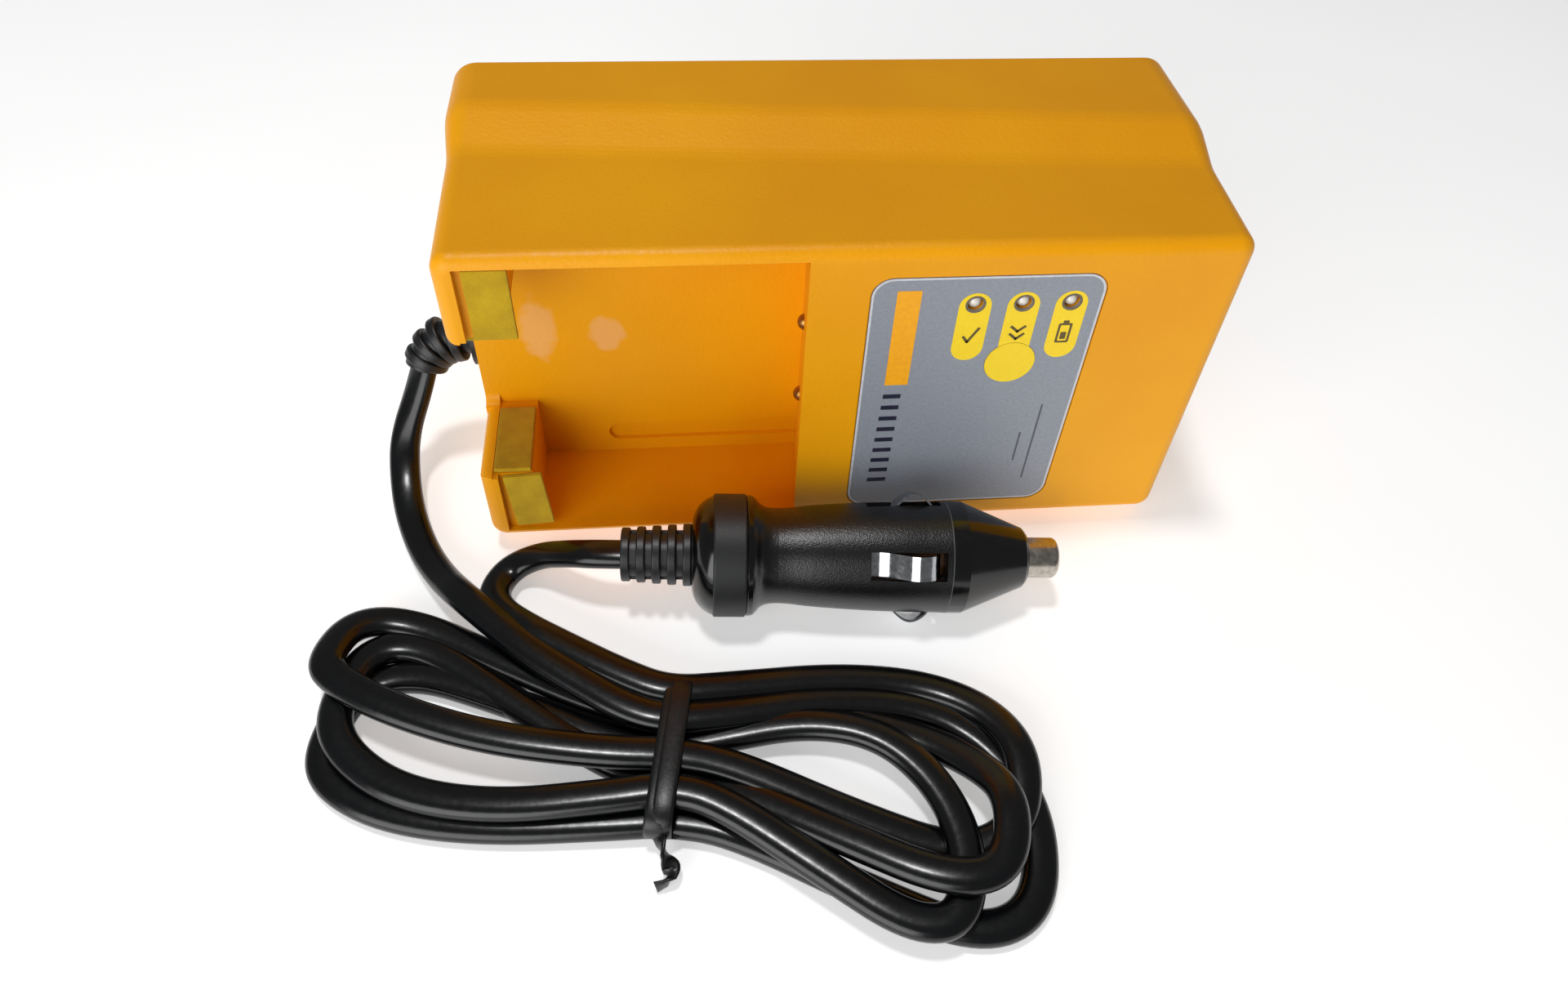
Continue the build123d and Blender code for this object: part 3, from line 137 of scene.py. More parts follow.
def loop_points(side, reach, enter, leave, end_y, bulge_out, bulge_back, heights):
    """The points round one loop of the hank, the first of them in the tie."""
    y0, z0 = SLOT[enter]
    y1, z1 = SLOT[leave]
    lifts = (z0, *heights, z1)
    made = [(TIE_AT, y0, z0)]
    for i in range(LOOP_POINTS):
        t = (i + 0.5) / LOOP_POINTS
        swing = sin(pi * t)
        bulge = (bulge_out if t < 0.5 else -bulge_back) * sin(2 * pi * t) * sqrt(swing)
        y = y0 + (y1 - y0) * t + (end_y - (y0 + y1) / 2) * swing ** 2 + bulge
        step = min(int(4 * t), 3)
        z = lifts[step] + (lifts[step + 1] - lifts[step]) * (4 * t - step)
        made.append((TIE_AT + side * reach * swing, y, z))
    return made


lead_run = [(-78.6, 2.6, 22.9), (-80.3, 0.9, 18.2), (-84.3, -5.0, 10.2), (-84.5, -11.4, 5.4),
            (-82.9, -19.8, 2.9), (-79.2, -29.2, 2.6), (-74.8, -36.8, 3.8), (-70.3, -43.0, 6.2),
            (-64.5, -49.0, 6.6), (-56.5, -57.0, 6.8), (-48.0, -63.5, 6.8), (-40.0, -69.5, 6.8)]
plug_run = [(-41.0, -62.5, 6.8), (-50.0, -56.8, 6.8), (-58.6, -51.0, 6.6), (-63.6, -45.5, 4.6),
            (-65.0, -40.0, 3.0), (-62.2, -34.8, 3.0), (-56.4, -34.2, 5.6), (-50.4, -37.4, 9.6),
            (-45.1, -39.8, 11.95), (-38.6, -40.2, 11.8)]
route = list(lead_run)
for loop in LOOPS:
    route += loop_points(*loop)
route.append((TIE_AT, *SLOT["plug lead"]))
route += plug_run

# the section is an oval with fuller corners than an ellipse
SECTION_POINTS = 24
outline = bpy.data.curves.new("cord_section", "CURVE")
outline.dimensions = "2D"
ring = outline.splines.new("POLY")
ring.points.add(SECTION_POINTS - 1)
ring.use_cyclic_u = True
for i, point in enumerate(ring.points):
    angle = 2 * pi * i / SECTION_POINTS
    wide = CORD_WIDE / 2 * abs(cos(angle)) ** 0.8 * (1 if cos(angle) >= 0 else -1)
    thin = CORD_THIN / 2 * abs(sin(angle)) ** 0.9 * (1 if sin(angle) >= 0 else -1)
    point.co = (wide * MM, thin * MM, 0, 1)
section = link(bpy.data.objects.new("cord_section", outline))
section.hide_render = True
section.hide_viewport = True

line = bpy.data.curves.new("cord", "CURVE")
line.dimensions = "3D"
line.twist_mode = "Z_UP"
line.resolution_u = 10
line.bevel_mode = "OBJECT"
line.bevel_object = section
line.use_fill_caps = True
strand = line.splines.new("NURBS")
strand.points.add(len(route) - 1)
for point, place in zip(strand.points, route):
    point.co = (*[c * MM for c in place], 1)
strand.order_u = 3
strand.use_endpoint_u = True
strand.use_smooth = True
cord = link(bpy.data.objects.new("cord", line))

# soft PVC, extruded: black, smooth and glossy, with faint long ripples and a little dust
pvc, tree, shader = finish("extruded_black_pvc", IOR=1.5)
spot = add(tree, "ShaderNodeTexCoord").outputs["Object"]
ripple = add(tree, "ShaderNodeTexNoise", {"Vector": spot, "Scale": 1 / 0.009, "Detail": 2.0})
speck = add(tree, "ShaderNodeTexNoise", {"Vector": spot, "Scale": 1 / 0.0011, "Detail": 4.0})
tone = add(tree, "ShaderNodeValToRGB", {"Fac": ripple.outputs["Fac"]})
stops(tone.color_ramp, (0.3, linear("#020304")), (0.75, linear("#07090C")))
tree.links.new(tone.outputs["Color"], shader.inputs["Base Color"])
gloss = add(tree, "ShaderNodeMapRange", {"Value": speck.outputs["Fac"], "To Min": 0.17, "To Max": 0.3})
tree.links.new(gloss.outputs["Result"], shader.inputs["Roughness"])
relief = add(tree, "ShaderNodeBump", {"Height": speck.outputs["Fac"], "Strength": 0.06, "Distance": 0.0002})
tree.links.new(relief.outputs["Normal"], shader.inputs["Normal"])
line.materials.append(pvc)
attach(cord, "charger")
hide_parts("cord_lead", "cord_hank", "cord_plug_lead")

# ---------------------------------------------------------------- floor and light
# A white table under two lamps: a small one overhead, and a broad one to the left, behind the camera.
floor = bpy.data.meshes.new("floor")
floor.from_pydata([(-3, -3, 0), (3, -3, 0), (3, 3, 0), (-3, 3, 0)], [], [(0, 1, 2, 3)])
# white laminate, which glows a little so that it stays white where the lamps don't reach
table, tree, shader = finish("white_laminate", Roughness=0.6, Emission_Color=(1.0, 1.0, 1.0, 1.0),
                             Emission_Strength=0.42)
grain = add(tree, "ShaderNodeTexNoise", {"Scale": 60.0, "Detail": 3.0})
tone = add(tree, "ShaderNodeValToRGB", {"Fac": grain.outputs["Fac"]})
stops(tone.color_ramp, (0.3, linear("#F4F4F4")), (0.7, linear("#F8F8F8")))
tree.links.new(tone.outputs["Color"], shader.inputs["Base Color"])
floor.materials.append(table)
link(bpy.data.objects.new("floor", floor))


def lamp(name, place, aim, size, watts):
    """A square lamp that shines at a point."""
    source = bpy.data.lights.new(name, "AREA")
    source.size = size
    source.energy = watts
    made = link(bpy.data.objects.new(name, source))
    made.location = place
    made.rotation_euler = (Vector(aim) - Vector(place)).to_track_quat("-Z", "Y").to_euler()


lamp("overhead_lamp", (-0.10, 0.0, 0.75), (-0.02, -0.04, 0.0), 0.09, 1.9)
lamp("camera_lamp", (-0.40, -0.60, 0.24), (-0.04, -0.03, 0.04), 0.6, 3.9)
sky = bpy.data.worlds.new("room")
sky.use_nodes = True
sky.node_tree.nodes["Background"].inputs["Color"].default_value = (1.0, 1.0, 1.0, 1.0)
sky.node_tree.nodes["Background"].inputs["Strength"].default_value = 0.17
bpy.context.scene.world = sky
bpy.context.scene.view_settings.view_transform = "Standard"

# ---------------------------------------------------------------- housing
# Injection moulded ABS in signal orange, with a fine spark-eroded grain on every face. The back is closed by
# a plate of the same moulding, held by four zinc plated screws. Two pale patches of glare are painted in the
# bay.
GLARE_PATCHES = ((-54.2, 37.6, 3.4, 7.4), (-41.8, 36.2, 3.6, 4.1))  # X, Z and half their size along each
BAY_FLOOR = -6.75  # Y
GLARE_DEEP = 1.5    # how far a mark reaches along Y, either way


def coat(material, *names):
    """Gives CAD nodes a material."""
    for name in names:
        piece = nodes[name]
        if not piece.material_slots:
            piece.data.materials.append(material)
        for place in piece.material_slots:
            place.material = material


def wander(name, low, high, rough, grain, bump=0.1, depth=0.1, **sockets):
    """A material whose colour and gloss wander between two tones, with a bump of the same grain in mm."""
    made, tree, shader = finish(name, **sockets)
    spot = add(tree, "ShaderNodeTexCoord").outputs["Object"]
    cloud = add(tree, "ShaderNodeTexNoise", {"Vector": spot, "Scale": 1 / (grain * MM), "Detail": 3.0})
    tone = add(tree, "ShaderNodeValToRGB", {"Fac": cloud.outputs["Fac"]})
    stops(tone.color_ramp, (0.3, linear(low)), (0.7, linear(high)))
    tree.links.new(tone.outputs["Color"], shader.inputs["Base Color"])
    gloss = add(tree, "ShaderNodeMapRange", {"Value": cloud.outputs["Fac"], "To Min": rough - 0.06,
                                             "To Max": rough + 0.06})
    tree.links.new(gloss.outputs["Result"], shader.inputs["Roughness"])
    relief = add(tree, "ShaderNodeBump", {"Height": cloud.outputs["Fac"], "Strength": bump,
                                          "Distance": depth * MM})
    tree.links.new(relief.outputs["Normal"], shader.inputs["Normal"])
    return made


# moulded ABS: an even satin orange whose grain, about 0.2 mm across and drawn at 0.7 mm so that it shows,
# breaks up the highlights; ragged pale patches on the bay floor are painted reflections
abs_orange, tree, shader = finish("moulded_orange_abs", IOR=1.48, Specular_IOR_Level=0.3)
spot = add(tree, "ShaderNodeTexCoord").outputs["Object"]
cloud = add(tree, "ShaderNodeTexNoise", {"Vector": spot, "Scale": 1 / 0.045, "Detail": 3.0})
tone = add(tree, "ShaderNodeValToRGB", {"Fac": cloud.outputs["Fac"]})
stops(tone.color_ramp, (0.35, linear("#ED9F00")), (0.65, linear("#F4A900")))
colour = tone.outputs["Color"]
pale_edge = add(tree, "ShaderNodeTexNoise", {"Vector": spot, "Scale": 1 / 0.0035, "Detail": 5.0})
# painted reflection: each patch mixes a pale glare colour into the orange, with a ragged rim
for x, z, half_x, half_z in GLARE_PATCHES:
    centre = (-x / half_x, -BAY_FLOOR / GLARE_DEEP, -z / half_z)
    scale = (1 / (half_x * MM), 1 / (GLARE_DEEP * MM), 1 / (half_z * MM))
    place = add(tree, "ShaderNodeMapping", {"Vector": spot, "Location": centre, "Scale": scale})
    away = add(tree, "ShaderNodeVectorMath", {"Vector": place.outputs["Vector"]}, operation="LENGTH")
    ragged = add(tree, "ShaderNodeMath", {0: away.outputs["Value"], 1: pale_edge.outputs["Fac"]}, operation="ADD")
    glare = add(tree, "ShaderNodeMapRange", {"Value": ragged.outputs["Value"], "From Min": 1.55,
                                            "From Max": 1.2, "To Min": 0.0, "To Max": 0.6})
    mixed = add(tree, "ShaderNodeMix", {0: glare.outputs["Result"], 6: colour}, data_type="RGBA")
    mixed.inputs[7].default_value = linear("#F2B673")
    colour = mixed.outputs[2]
tree.links.new(colour, shader.inputs["Base Color"])
grain = add(tree, "ShaderNodeTexNoise", {"Vector": spot, "Scale": 1 / 0.0007, "Detail": 2.0})
relief = add(tree, "ShaderNodeBump", {"Height": grain.outputs["Fac"], "Strength": 0.3, "Distance": 0.0002})
tree.links.new(relief.outputs["Normal"], shader.inputs["Normal"])
gloss = add(tree, "ShaderNodeMapRange", {"Value": grain.outputs["Fac"], "To Min": 0.34, "To Max": 0.5})
tree.links.new(gloss.outputs["Result"], shader.inputs["Roughness"])
coat(abs_orange, "housing", "base_plate")

# zinc plate: pale grey metal, clouded by the passivation
zinc = wander("zinc_plated_steel", "#9A9C9E", "#C4C5C4", 0.36, 1.5, Metallic=1.0)
coat(zinc, "base_screws", "board_screws", "contact_spring_upper", "contact_spring_lower", "plug_spring")

# ---------------------------------------------------------------- label and lamps
# A printed polyester film, glued in the face's recess. Its print is a pale rim, a signal bar, a yellow field
# round each lamp and over the key, and plain marks: a sign in each field, a scale of bars and two rules.
label_low, label_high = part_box("label_overlay")
x0, x1 = label_low[0] / MM, label_high[0] / MM
z0, z1 = label_low[2] / MM, label_high[2] / MM
LABEL_RIM = 0.4
BAR = (4.2, 8.3, 22.9, 2.5)  # left and right from the left edge, foot and top from the top edge
SIGN_INK = 0.5
TICK = ((-1.1, 50.6, -0.1, 49.2), (-0.3, 49.2, 1.5, 52.4))  # strokes, from the lamp's middle and from Z 0
CHEVRON_FEET = (51.2, 49.6)
CHEVRON = 1.3
CELL = ((-1.2, 1.2, 48.6, 52.8, 0.3), (-0.8, 0.8, 49.0, 52.4, 0.2))  # outside and inside, with corner radius
CELL_CAP = (-0.5, 0.5, 52.8, 53.4, 0.1)
CELL_CHARGE = (-0.5, 0.5, 49.4, 50.9, 0.1)
SCALE_BARS = 9
SCALE_FOOT = 15.2
SCALE_PITCH = 2.7
RULES = ((36.9, 34.0, 36.9, 14.5), (34.2, 27.0, 34.2, 19.5))
RULE_INK = 0.35
RIM_SHADE_R = 1.75
LABEL_CORNER = 3.6
INK = 0.03
KEY_R = 4.44
KEY_HOLE_R = 4.5
LAMP_HOLE_R = 1.35
FIELD = 5.5
FIELD_TOP = 59.6
FIELD_FOOT = 45.3


def round_path(x, z, radius, start=0.0, end=360.0, steps=24):
    """Points round part of a circle, in degrees from +X towards +Z."""
    turns = [radians(start + (end - start) * i / steps) for i in range(steps + 1)]
    points = [(x + radius * cos(t), z + radius * sin(t)) for t in turns]
    return points[:-1] if end - start == 360.0 else points


def rounded(x0, x1, z0, z1, r):
    """A rectangle with round corners."""
    corners = ((x1 - r, z1 - r, 0), (x0 + r, z1 - r, 90), (x0 + r, z0 + r, 180), (x1 - r, z0 + r, 270))
    return [point for x, z, turn in corners for point in round_path(x, z, r, turn, turn + 90, 6)]


def stroke(x0, z0, x1, z1, width):
    """A straight line of ink."""
    side = Vector((x1 - x0, z1 - z0)).normalized().orthogonal() * width / 2
    return [(x0 + side.x, z0 + side.y), (x1 + side.x, z1 + side.y), (x1 - side.x, z1 - side.y),
            (x0 - side.x, z0 - side.y)]


def flat_print_and_shade(name, shapes, material, surface, body="charger"):
    """Ink and painted shade on the film: flat shapes, each an outline and its holes, that lie on the surface
    at that Y.
    """
    made = bmesh.new()
    for loops in shapes:
        edges = []
        for loop in loops:
            ring = [made.verts.new((x * MM, surface, z * MM)) for x, z in loop]
            edges += [made.edges.new((a, b)) for a, b in zip(ring, ring[1:] + ring[:1])]
        bmesh.ops.triangle_fill(made, edges=edges, use_beauty=True)
    flat = list(made.faces)
    raised = bmesh.ops.extrude_face_region(made, geom=flat)["geom"]
    for point in raised:
        if isinstance(point, bmesh.types.BMVert):
            point.co.y -= INK * MM
    bmesh.ops.recalc_face_normals(made, faces=made.faces)
    mesh = bpy.data.meshes.new(name)
    made.to_mesh(mesh)
    made.free()
    mesh.materials.append(material)
    piece = link(bpy.data.objects.new(name, mesh))
    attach(piece, body)


# matt film with a silver-grey ground, and inks that stand a little glossier on it
film = wander("satin_polyester_film", "#868C97", "#9298A2", 0.42, 0.6, IOR=1.6)
rim_ink = wander("pale_rim_ink", "#C6C9CE", "#D6D8DC", 0.4, 0.8, IOR=1.5)
yellow_ink = wander("yellow_ink", "#FCD600", "#FFDC00", 0.4, 0.8, IOR=1.5)
amber_ink = wander("amber_ink", "#F7A600", "#FFB200", 0.4, 0.8, IOR=1.5)
dark_ink = wander("dark_ink", "#15172C", "#1F2139", 0.4, 0.8, IOR=1.5)
grey_ink = wander("grey_ink", "#4A4D58", "#575A66", 0.4, 0.8, IOR=1.5)
brown_ink = wander("brown_ink", "#54430C", "#665112", 0.4, 0.8, IOR=1.5)
# painted shade: the dark ring round each lamp hole's rim, laid on the film like an ink
rim_shade = wander("painted_rim_shade", "#4E4538", "#7A6E5C", 0.3, 0.4, IOR=1.5)
coat(film, "label_overlay")

ground = label_low[1]
second = ground - INK * MM
rim_in = rounded(x0 + LABEL_RIM, x1 - LABEL_RIM, z0 + LABEL_RIM, z1 - LABEL_RIM,
                 LABEL_CORNER - LABEL_RIM)
label_edge = rounded(x0, x1, z0, z1, LABEL_CORNER)
flat_print_and_shade("label_rim", [[label_edge, rim_in]], rim_ink, ground)
bar = rounded(x0 + BAR[0], x0 + BAR[1], z1 - BAR[2], z1 - BAR[3], 0.15)
flat_print_and_shade("label_bar", [[bar]], amber_ink, ground)

lamps = {}
for name in ("lamp_ready", "lamp_fast", "lamp_charge"):
    low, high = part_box(name)
    lamps[name] = ((low[0] + high[0]) / 2 / MM, (low[2] + high[2]) / 2 / MM)
key_low, key_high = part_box("fast_key")
key_x = (key_low[0] + key_high[0]) / 2 / MM
key_z = (key_low[2] + key_high[2]) / 2 / MM
fields = []
for name, (x, z) in lamps.items():
    hole = round_path(x, z, LAMP_HOLE_R)
    if name == "lamp_fast":
        half = degrees(asin(FIELD / 2 / KEY_HOLE_R))
        foot = round_path(key_x, key_z, KEY_HOLE_R, 90 - half, 90 + half, 10)[::-1]
        outline = round_path(x, FIELD_TOP - FIELD / 2, FIELD / 2, 0, 180, 16) + foot
    else:
        outline = rounded(x - FIELD / 2, x + FIELD / 2, FIELD_FOOT, FIELD_TOP, FIELD / 2 - 0.01)
    fields.append([outline, hole])
flat_print_and_shade("label_fields", fields, yellow_ink, ground)
disc = round_path(key_x, key_z, KEY_R, steps=48)
flat_print_and_shade("key_print", [[disc]], yellow_ink, second, "key")

signs = []
ready_x, fast_x, charge_x = (lamps[name][0] for name in ("lamp_ready", "lamp_fast", "lamp_charge"))
for xa, za, xb, zb in TICK:
    signs.append([stroke(ready_x + xa, za, ready_x + xb, zb, SIGN_INK)])
for foot in CHEVRON_FEET:
    signs.append([stroke(fast_x - CHEVRON, foot + CHEVRON, fast_x + 0.15, foot, SIGN_INK)])
    signs.append([stroke(fast_x - 0.15, foot, fast_x + CHEVRON, foot + CHEVRON, SIGN_INK)])
signs.append([rounded(charge_x + xa, charge_x + xb, za, zb, r) for xa, xb, za, zb, r in CELL])
for xa, xb, za, zb, r in (CELL_CAP, CELL_CHARGE):
    signs.append([rounded(charge_x + xa, charge_x + xb, za, zb, r)])
flat_print_and_shade("label_signs", signs, brown_ink, second)

# nine short bars, each longer than the last, and two thin rules
scale = []
for i in range(SCALE_BARS):
    foot = SCALE_FOOT + SCALE_PITCH * (SCALE_BARS - 1 - i)
    scale.append([rounded(x0 + 4.2 - 0.1 * i, x0 + 7.4 - 0.05 * i, foot, foot + 1.0, 0.1)])
flat_print_and_shade("label_scale", scale, dark_ink, ground)
rules = [[stroke(*ends, RULE_INK)] for ends in RULES]
flat_print_and_shade("label_rules", rules, grey_ink, ground)
# painted shade round each lamp hole: a dark ring on the film at the hole's rim
rim_shade_rings = [[round_path(x, z, RIM_SHADE_R), round_path(x, z, LAMP_HOLE_R)] for x, z in lamps.values()]
flat_print_and_shade("painted_lamp_rim_shade", rim_shade_rings, rim_shade, second)

# clear epoxy, coloured by its angle to the eye: a painted highlight where it faces the eye, and painted
# shade in brown at its edge
epoxy, tree, shader = finish("clear_epoxy", IOR=1.55, Coat_Weight=0.6)
facing = add(tree, "ShaderNodeLayerWeight", {"Blend": 0.4}).outputs["Facing"]
spot = add(tree, "ShaderNodeTexCoord").outputs["Object"]
frost = add(tree, "ShaderNodeTexNoise", {"Vector": spot, "Scale": 1 / 0.0008, "Detail": 2.0})
tone = add(tree, "ShaderNodeValToRGB", {"Fac": facing})
stops(tone.color_ramp, (0.05, linear("#F2EEE6")), (0.35, linear("#B9AE9C")), (0.8, linear("#5B4F3E")))
tree.links.new(tone.outputs["Color"], shader.inputs["Base Color"])
gloss = add(tree, "ShaderNodeMapRange", {"Value": frost.outputs["Fac"], "To Min": 0.06, "To Max": 0.2})
tree.links.new(gloss.outputs["Result"], shader.inputs["Roughness"])
coat(epoxy, *lamps)

# ---------------------------------------------------------------- felt pads
# Four pieces of mustard wool felt, 1 mm thick, cut with scissors and glued to the bay's blocks to steady the
# battery pack. The cut edges are soft and a little uneven, and the lower front one sits askew.
PAD_EDGE = 0.22
PAD_CUTS = 11
PAD_NAP = 0.09
FINE_NAP = 900   # dips of the face per metre
BROAD_NAP = 260


def pad(node, lean=0.0):
    """A felt pad with soft edges and an uneven face, in the place of its CAD node."""
    low, high = [Vector(corner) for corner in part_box(node)]
    middle = (low + high) / 2
    size = high - low
    made = bmesh.new()
    bmesh.ops.create_cube(made, size=1.0)
    for point in made.verts:
        point.co = Vector([c * s for c, s in zip(point.co, size)])
    bmesh.ops.bevel(made, geom=list(made.edges), offset=PAD_EDGE * MM, segments=3, profile=0.6,
                    affect="EDGES")
    long_edges = [edge for edge in made.edges if edge.calc_length() > 0.8 * MM]
    bmesh.ops.subdivide_edges(made, edges=long_edges, cuts=PAD_CUTS, use_grid_fill=True)
    made.normal_update()
    for point in made.verts:
        hollow = 0.5 + 0.5 * noise.noise((point.co + middle) * FINE_NAP)
        nap = 0.5 + 0.5 * noise.noise((point.co + middle) * BROAD_NAP)
        point.co -= point.normal * PAD_NAP * MM * (0.4 * hollow + 0.6 * nap)
    bmesh.ops.rotate(made, verts=made.verts, matrix=Matrix.Rotation(radians(lean), 3, "Y"))
    bmesh.ops.recalc_face_normals(made, faces=made.faces)
    for face in made.faces:
        face.smooth = True
    mesh = bpy.data.meshes.new(node + "_felt")
    made.to_mesh(mesh)
    made.free()
    mesh.transform(Matrix.Translation(middle))
    mesh.materials.append(felt)
    piece = link(bpy.data.objects.new(node + "_felt", mesh))
    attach(piece, "charger")
    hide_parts(node)


# wool felt: matt, with tangled fibres 0.1 mm across, drawn twice as coarse so that they show, and a
# faint sheen
felt, tree, shader = finish("mustard_wool_felt", Roughness=0.96, Sheen_Weight=0.08, Sheen_Roughness=0.5)
spot = add(tree, "ShaderNodeTexCoord").outputs["Object"]
fibre = add(tree, "ShaderNodeTexNoise", {"Vector": spot, "Scale": 1 / 0.0002, "Detail": 6.0,
                                         "Distortion": 1.2})
patch = add(tree, "ShaderNodeTexNoise", {"Vector": spot, "Scale": 1 / 0.004, "Detail": 2.0})
both = add(tree, "ShaderNodeMath", {0: fibre.outputs["Fac"], 1: patch.outputs["Fac"]}, operation="ADD")
half = add(tree, "ShaderNodeMath", {0: both.outputs["Value"], 1: 0.5}, operation="MULTIPLY")
tone = add(tree, "ShaderNodeValToRGB", {"Fac": half.outputs["Value"]})
stops(tone.color_ramp, (0.32, linear("#AD8A00")), (0.5, linear("#C29C00")), (0.68, linear("#D0AC0C")))
tree.links.new(tone.outputs["Color"], shader.inputs["Base Color"])
relief = add(tree, "ShaderNodeBump", {"Height": fibre.outputs["Fac"], "Strength": 0.6, "Distance": 0.0002})
tree.links.new(relief.outputs["Normal"], shader.inputs["Normal"])
pad("pad_face_upper")
pad("pad_face_lower", lean=-4.0)
pad("pad_side_upper")
pad("pad_side_lower")

# ---------------------------------------------------------------- battery contacts and key
# Two sprung brass pins reach out of the bay's right wall, and the key is a plain yellow moulding.
# dulled brass: brown where it has tarnished, and bright where a battery has rubbed it
brass = wander("dulled_brass", "#8A5A2A", "#B98A4A", 0.36, 0.9, Metallic=1.0)
coat(brass, "battery_contact_upper", "battery_contact_lower")
# ABS in the colour of the print over it
key_abs = wander("moulded_yellow_abs", "#EFC400", "#F8D000", 0.42, 0.5, IOR=1.52)
coat(key_abs, "fast_key")

# ---------------------------------------------------------------- plug
# A 12 V plug of 21 mm: a glossy moulded body with a rubber band round its shoulder, a screwed nose that
# holds the sprung tip, four chromed ground clips in windows, and a ribbed relief of the cord's own PVC.
PLUG_REAR = (-27.8, -40.75, 11.57)
PLUG_AXIS = (0.99828, -0.05407, -0.02256)
GLOSS_END = 10.0
JOINT_AT = 46.62


def along_plug(tree, spot):
    """The distance in mm from the plug's rear, along its axis."""
    rear = Vector(PLUG_REAR).dot(Vector(PLUG_AXIS))
    reach = add(tree, "ShaderNodeVectorMath", {0: spot}, operation="DOT_PRODUCT")
    reach.inputs[1].default_value = PLUG_AXIS
    return add(tree, "ShaderNodeMath", {0: reach.outputs["Value"], 1: 1 / MM, 2: -rear},
               operation="MULTIPLY_ADD").outputs["Value"]


# moulded phenolic: black, polished on the dome and lip, finely grained on the barrel, and pale on the
# sharp edge that meets the nose
plug_black, tree, shader = finish("grained_black_moulding", IOR=1.55)
spot = add(tree, "ShaderNodeTexCoord").outputs["Object"]
reach = along_plug(tree, spot)
grain = add(tree, "ShaderNodeTexNoise", {"Vector": spot, "Scale": 1 / 0.0003, "Detail": 3.0})
cloud = add(tree, "ShaderNodeTexNoise", {"Vector": spot, "Scale": 1 / 0.006, "Detail": 3.0})
tone = add(tree, "ShaderNodeValToRGB", {"Fac": cloud.outputs["Fac"]})
stops(tone.color_ramp, (0.3, linear("#020203")), (0.7, linear("#050607")))
edge = add(tree, "ShaderNodeMapRange", {"Value": reach, "From Min": JOINT_AT, "From Max": JOINT_AT + 0.1,
                                        "To Min": 0.0, "To Max": 0.75})
pale_edge = add(tree, "ShaderNodeMix", {0: edge.outputs["Result"], 6: tone.outputs["Color"]}, data_type="RGBA")
pale_edge.inputs[7].default_value = linear("#6A6C70")
tree.links.new(pale_edge.outputs[2], shader.inputs["Base Color"])
barrel = add(tree, "ShaderNodeMapRange", {"Value": reach, "From Min": GLOSS_END, "From Max": GLOSS_END + 4})
rough = add(tree, "ShaderNodeMapRange", {"Value": barrel.outputs["Result"], "To Min": 0.15, "To Max": 0.3})
tree.links.new(rough.outputs["Result"], shader.inputs["Roughness"])
relief = add(tree, "ShaderNodeBump", {"Height": grain.outputs["Fac"], "Strength": barrel.outputs["Result"],
                                      "Distance": 0.00006})
tree.links.new(relief.outputs["Normal"], shader.inputs["Normal"])
coat(plug_black, "plug_body")
# the nose is turned and polished, with faint scuffs from the socket
nose_black = wander("polished_black_moulding", "#030304", "#070809", 0.17, 2.0, 0.05, IOR=1.55)
coat(nose_black, "plug_nose_cap")
# the band is matt rubber with a fine stipple
rubber = wander("stippled_black_rubber", "#08090A", "#111317", 0.5, 0.35, 0.25, IOR=1.52)
coat(rubber, "plug_grip_band")
# the reliefs are moulded matt in the cord's own PVC
relief_pvc = wander("moulded_matt_pvc", "#06070A", "#0E1014", 0.42, 0.5, 0.12, IOR=1.53)
coat(relief_pvc, "cable_gland", "plug_strain_relief")
# nickel: a warm bright grey, dulled by handling
nickel = wander("dulled_nickel_plate", "#A39C92", "#C9C3BA", 0.27, 1.2, 0.08, Metallic=1.0)
coat(nickel, "plug_tip", "plug_fuse_caps", "plug_rear_contact")
# chrome on spring steel: bright, with fine rub marks on the crests
chrome = wander("rubbed_chrome_plate", "#A4A6AA", "#C6C8CC", 0.12, 0.8, 0.08, Metallic=1.0)
coat(chrome, "ground_clip_1", "ground_clip_2", "ground_clip_3", "ground_clip_4", "plug_ground_ring")
# fuse tube and its guide
glass = wander("fuse_glass", "#C9D2D0", "#DCE3E1", 0.1, 3.0, 0.03, IOR=1.52, Transmission_Weight=0.85)
coat(glass, "plug_fuse_glass")
sleeve = wander("phenolic_paper", "#6A4528", "#825A36", 0.5, 0.7, 0.15, IOR=1.55)
coat(sleeve, "plug_fuse_sleeve")

# ---------------------------------------------------------------- charging board and wiring
# A green glass-epoxy board screwed behind the face, with the charger's parts on its back, the carrier for
# the battery contacts, the key's switch, and two stranded wires from the gland to the terminal.
# glass epoxy: solder mask over a faint weave
board = wander("green_glass_epoxy", "#0E4A2A", "#14603A", 0.36, 0.8, 0.12, IOR=1.55)
coat(board, "circuit_board")
# enamelled copper, wound in layers
copper = wander("enamelled_copper", "#8A3F16", "#B8602A", 0.3, 0.6, 0.4, 0.3, Metallic=0.85)
coat(copper, "inductor")
# shrunk sleeve on the cans
can_sleeve = wander("shrunk_blue_sleeve", "#16233F", "#22345C", 0.3, 1.2, 0.06, IOR=1.5)
coat(can_sleeve, "capacitors")
# extruded aluminium, with drawing marks
aluminium = wander("extruded_aluminium", "#B2B4B6", "#D0D2D3", 0.34, 0.6, 0.15, Metallic=1.0)
coat(aluminium, "heat_sink")
# black moulding compound and nylon, matt
epoxy_black = wander("black_moulding_compound", "#101113", "#1B1D20", 0.55, 0.4, 0.15, IOR=1.55)
coat(epoxy_black, "power_transistor", "control_chip", "key_switch_body", "key_switch_plunger",
     "contact_carrier")
# green polyamide
polyamide = wander("green_polyamide", "#1F7A3C", "#2A8F4A", 0.42, 0.6, 0.1, IOR=1.53)
coat(polyamide, "wire_terminal")
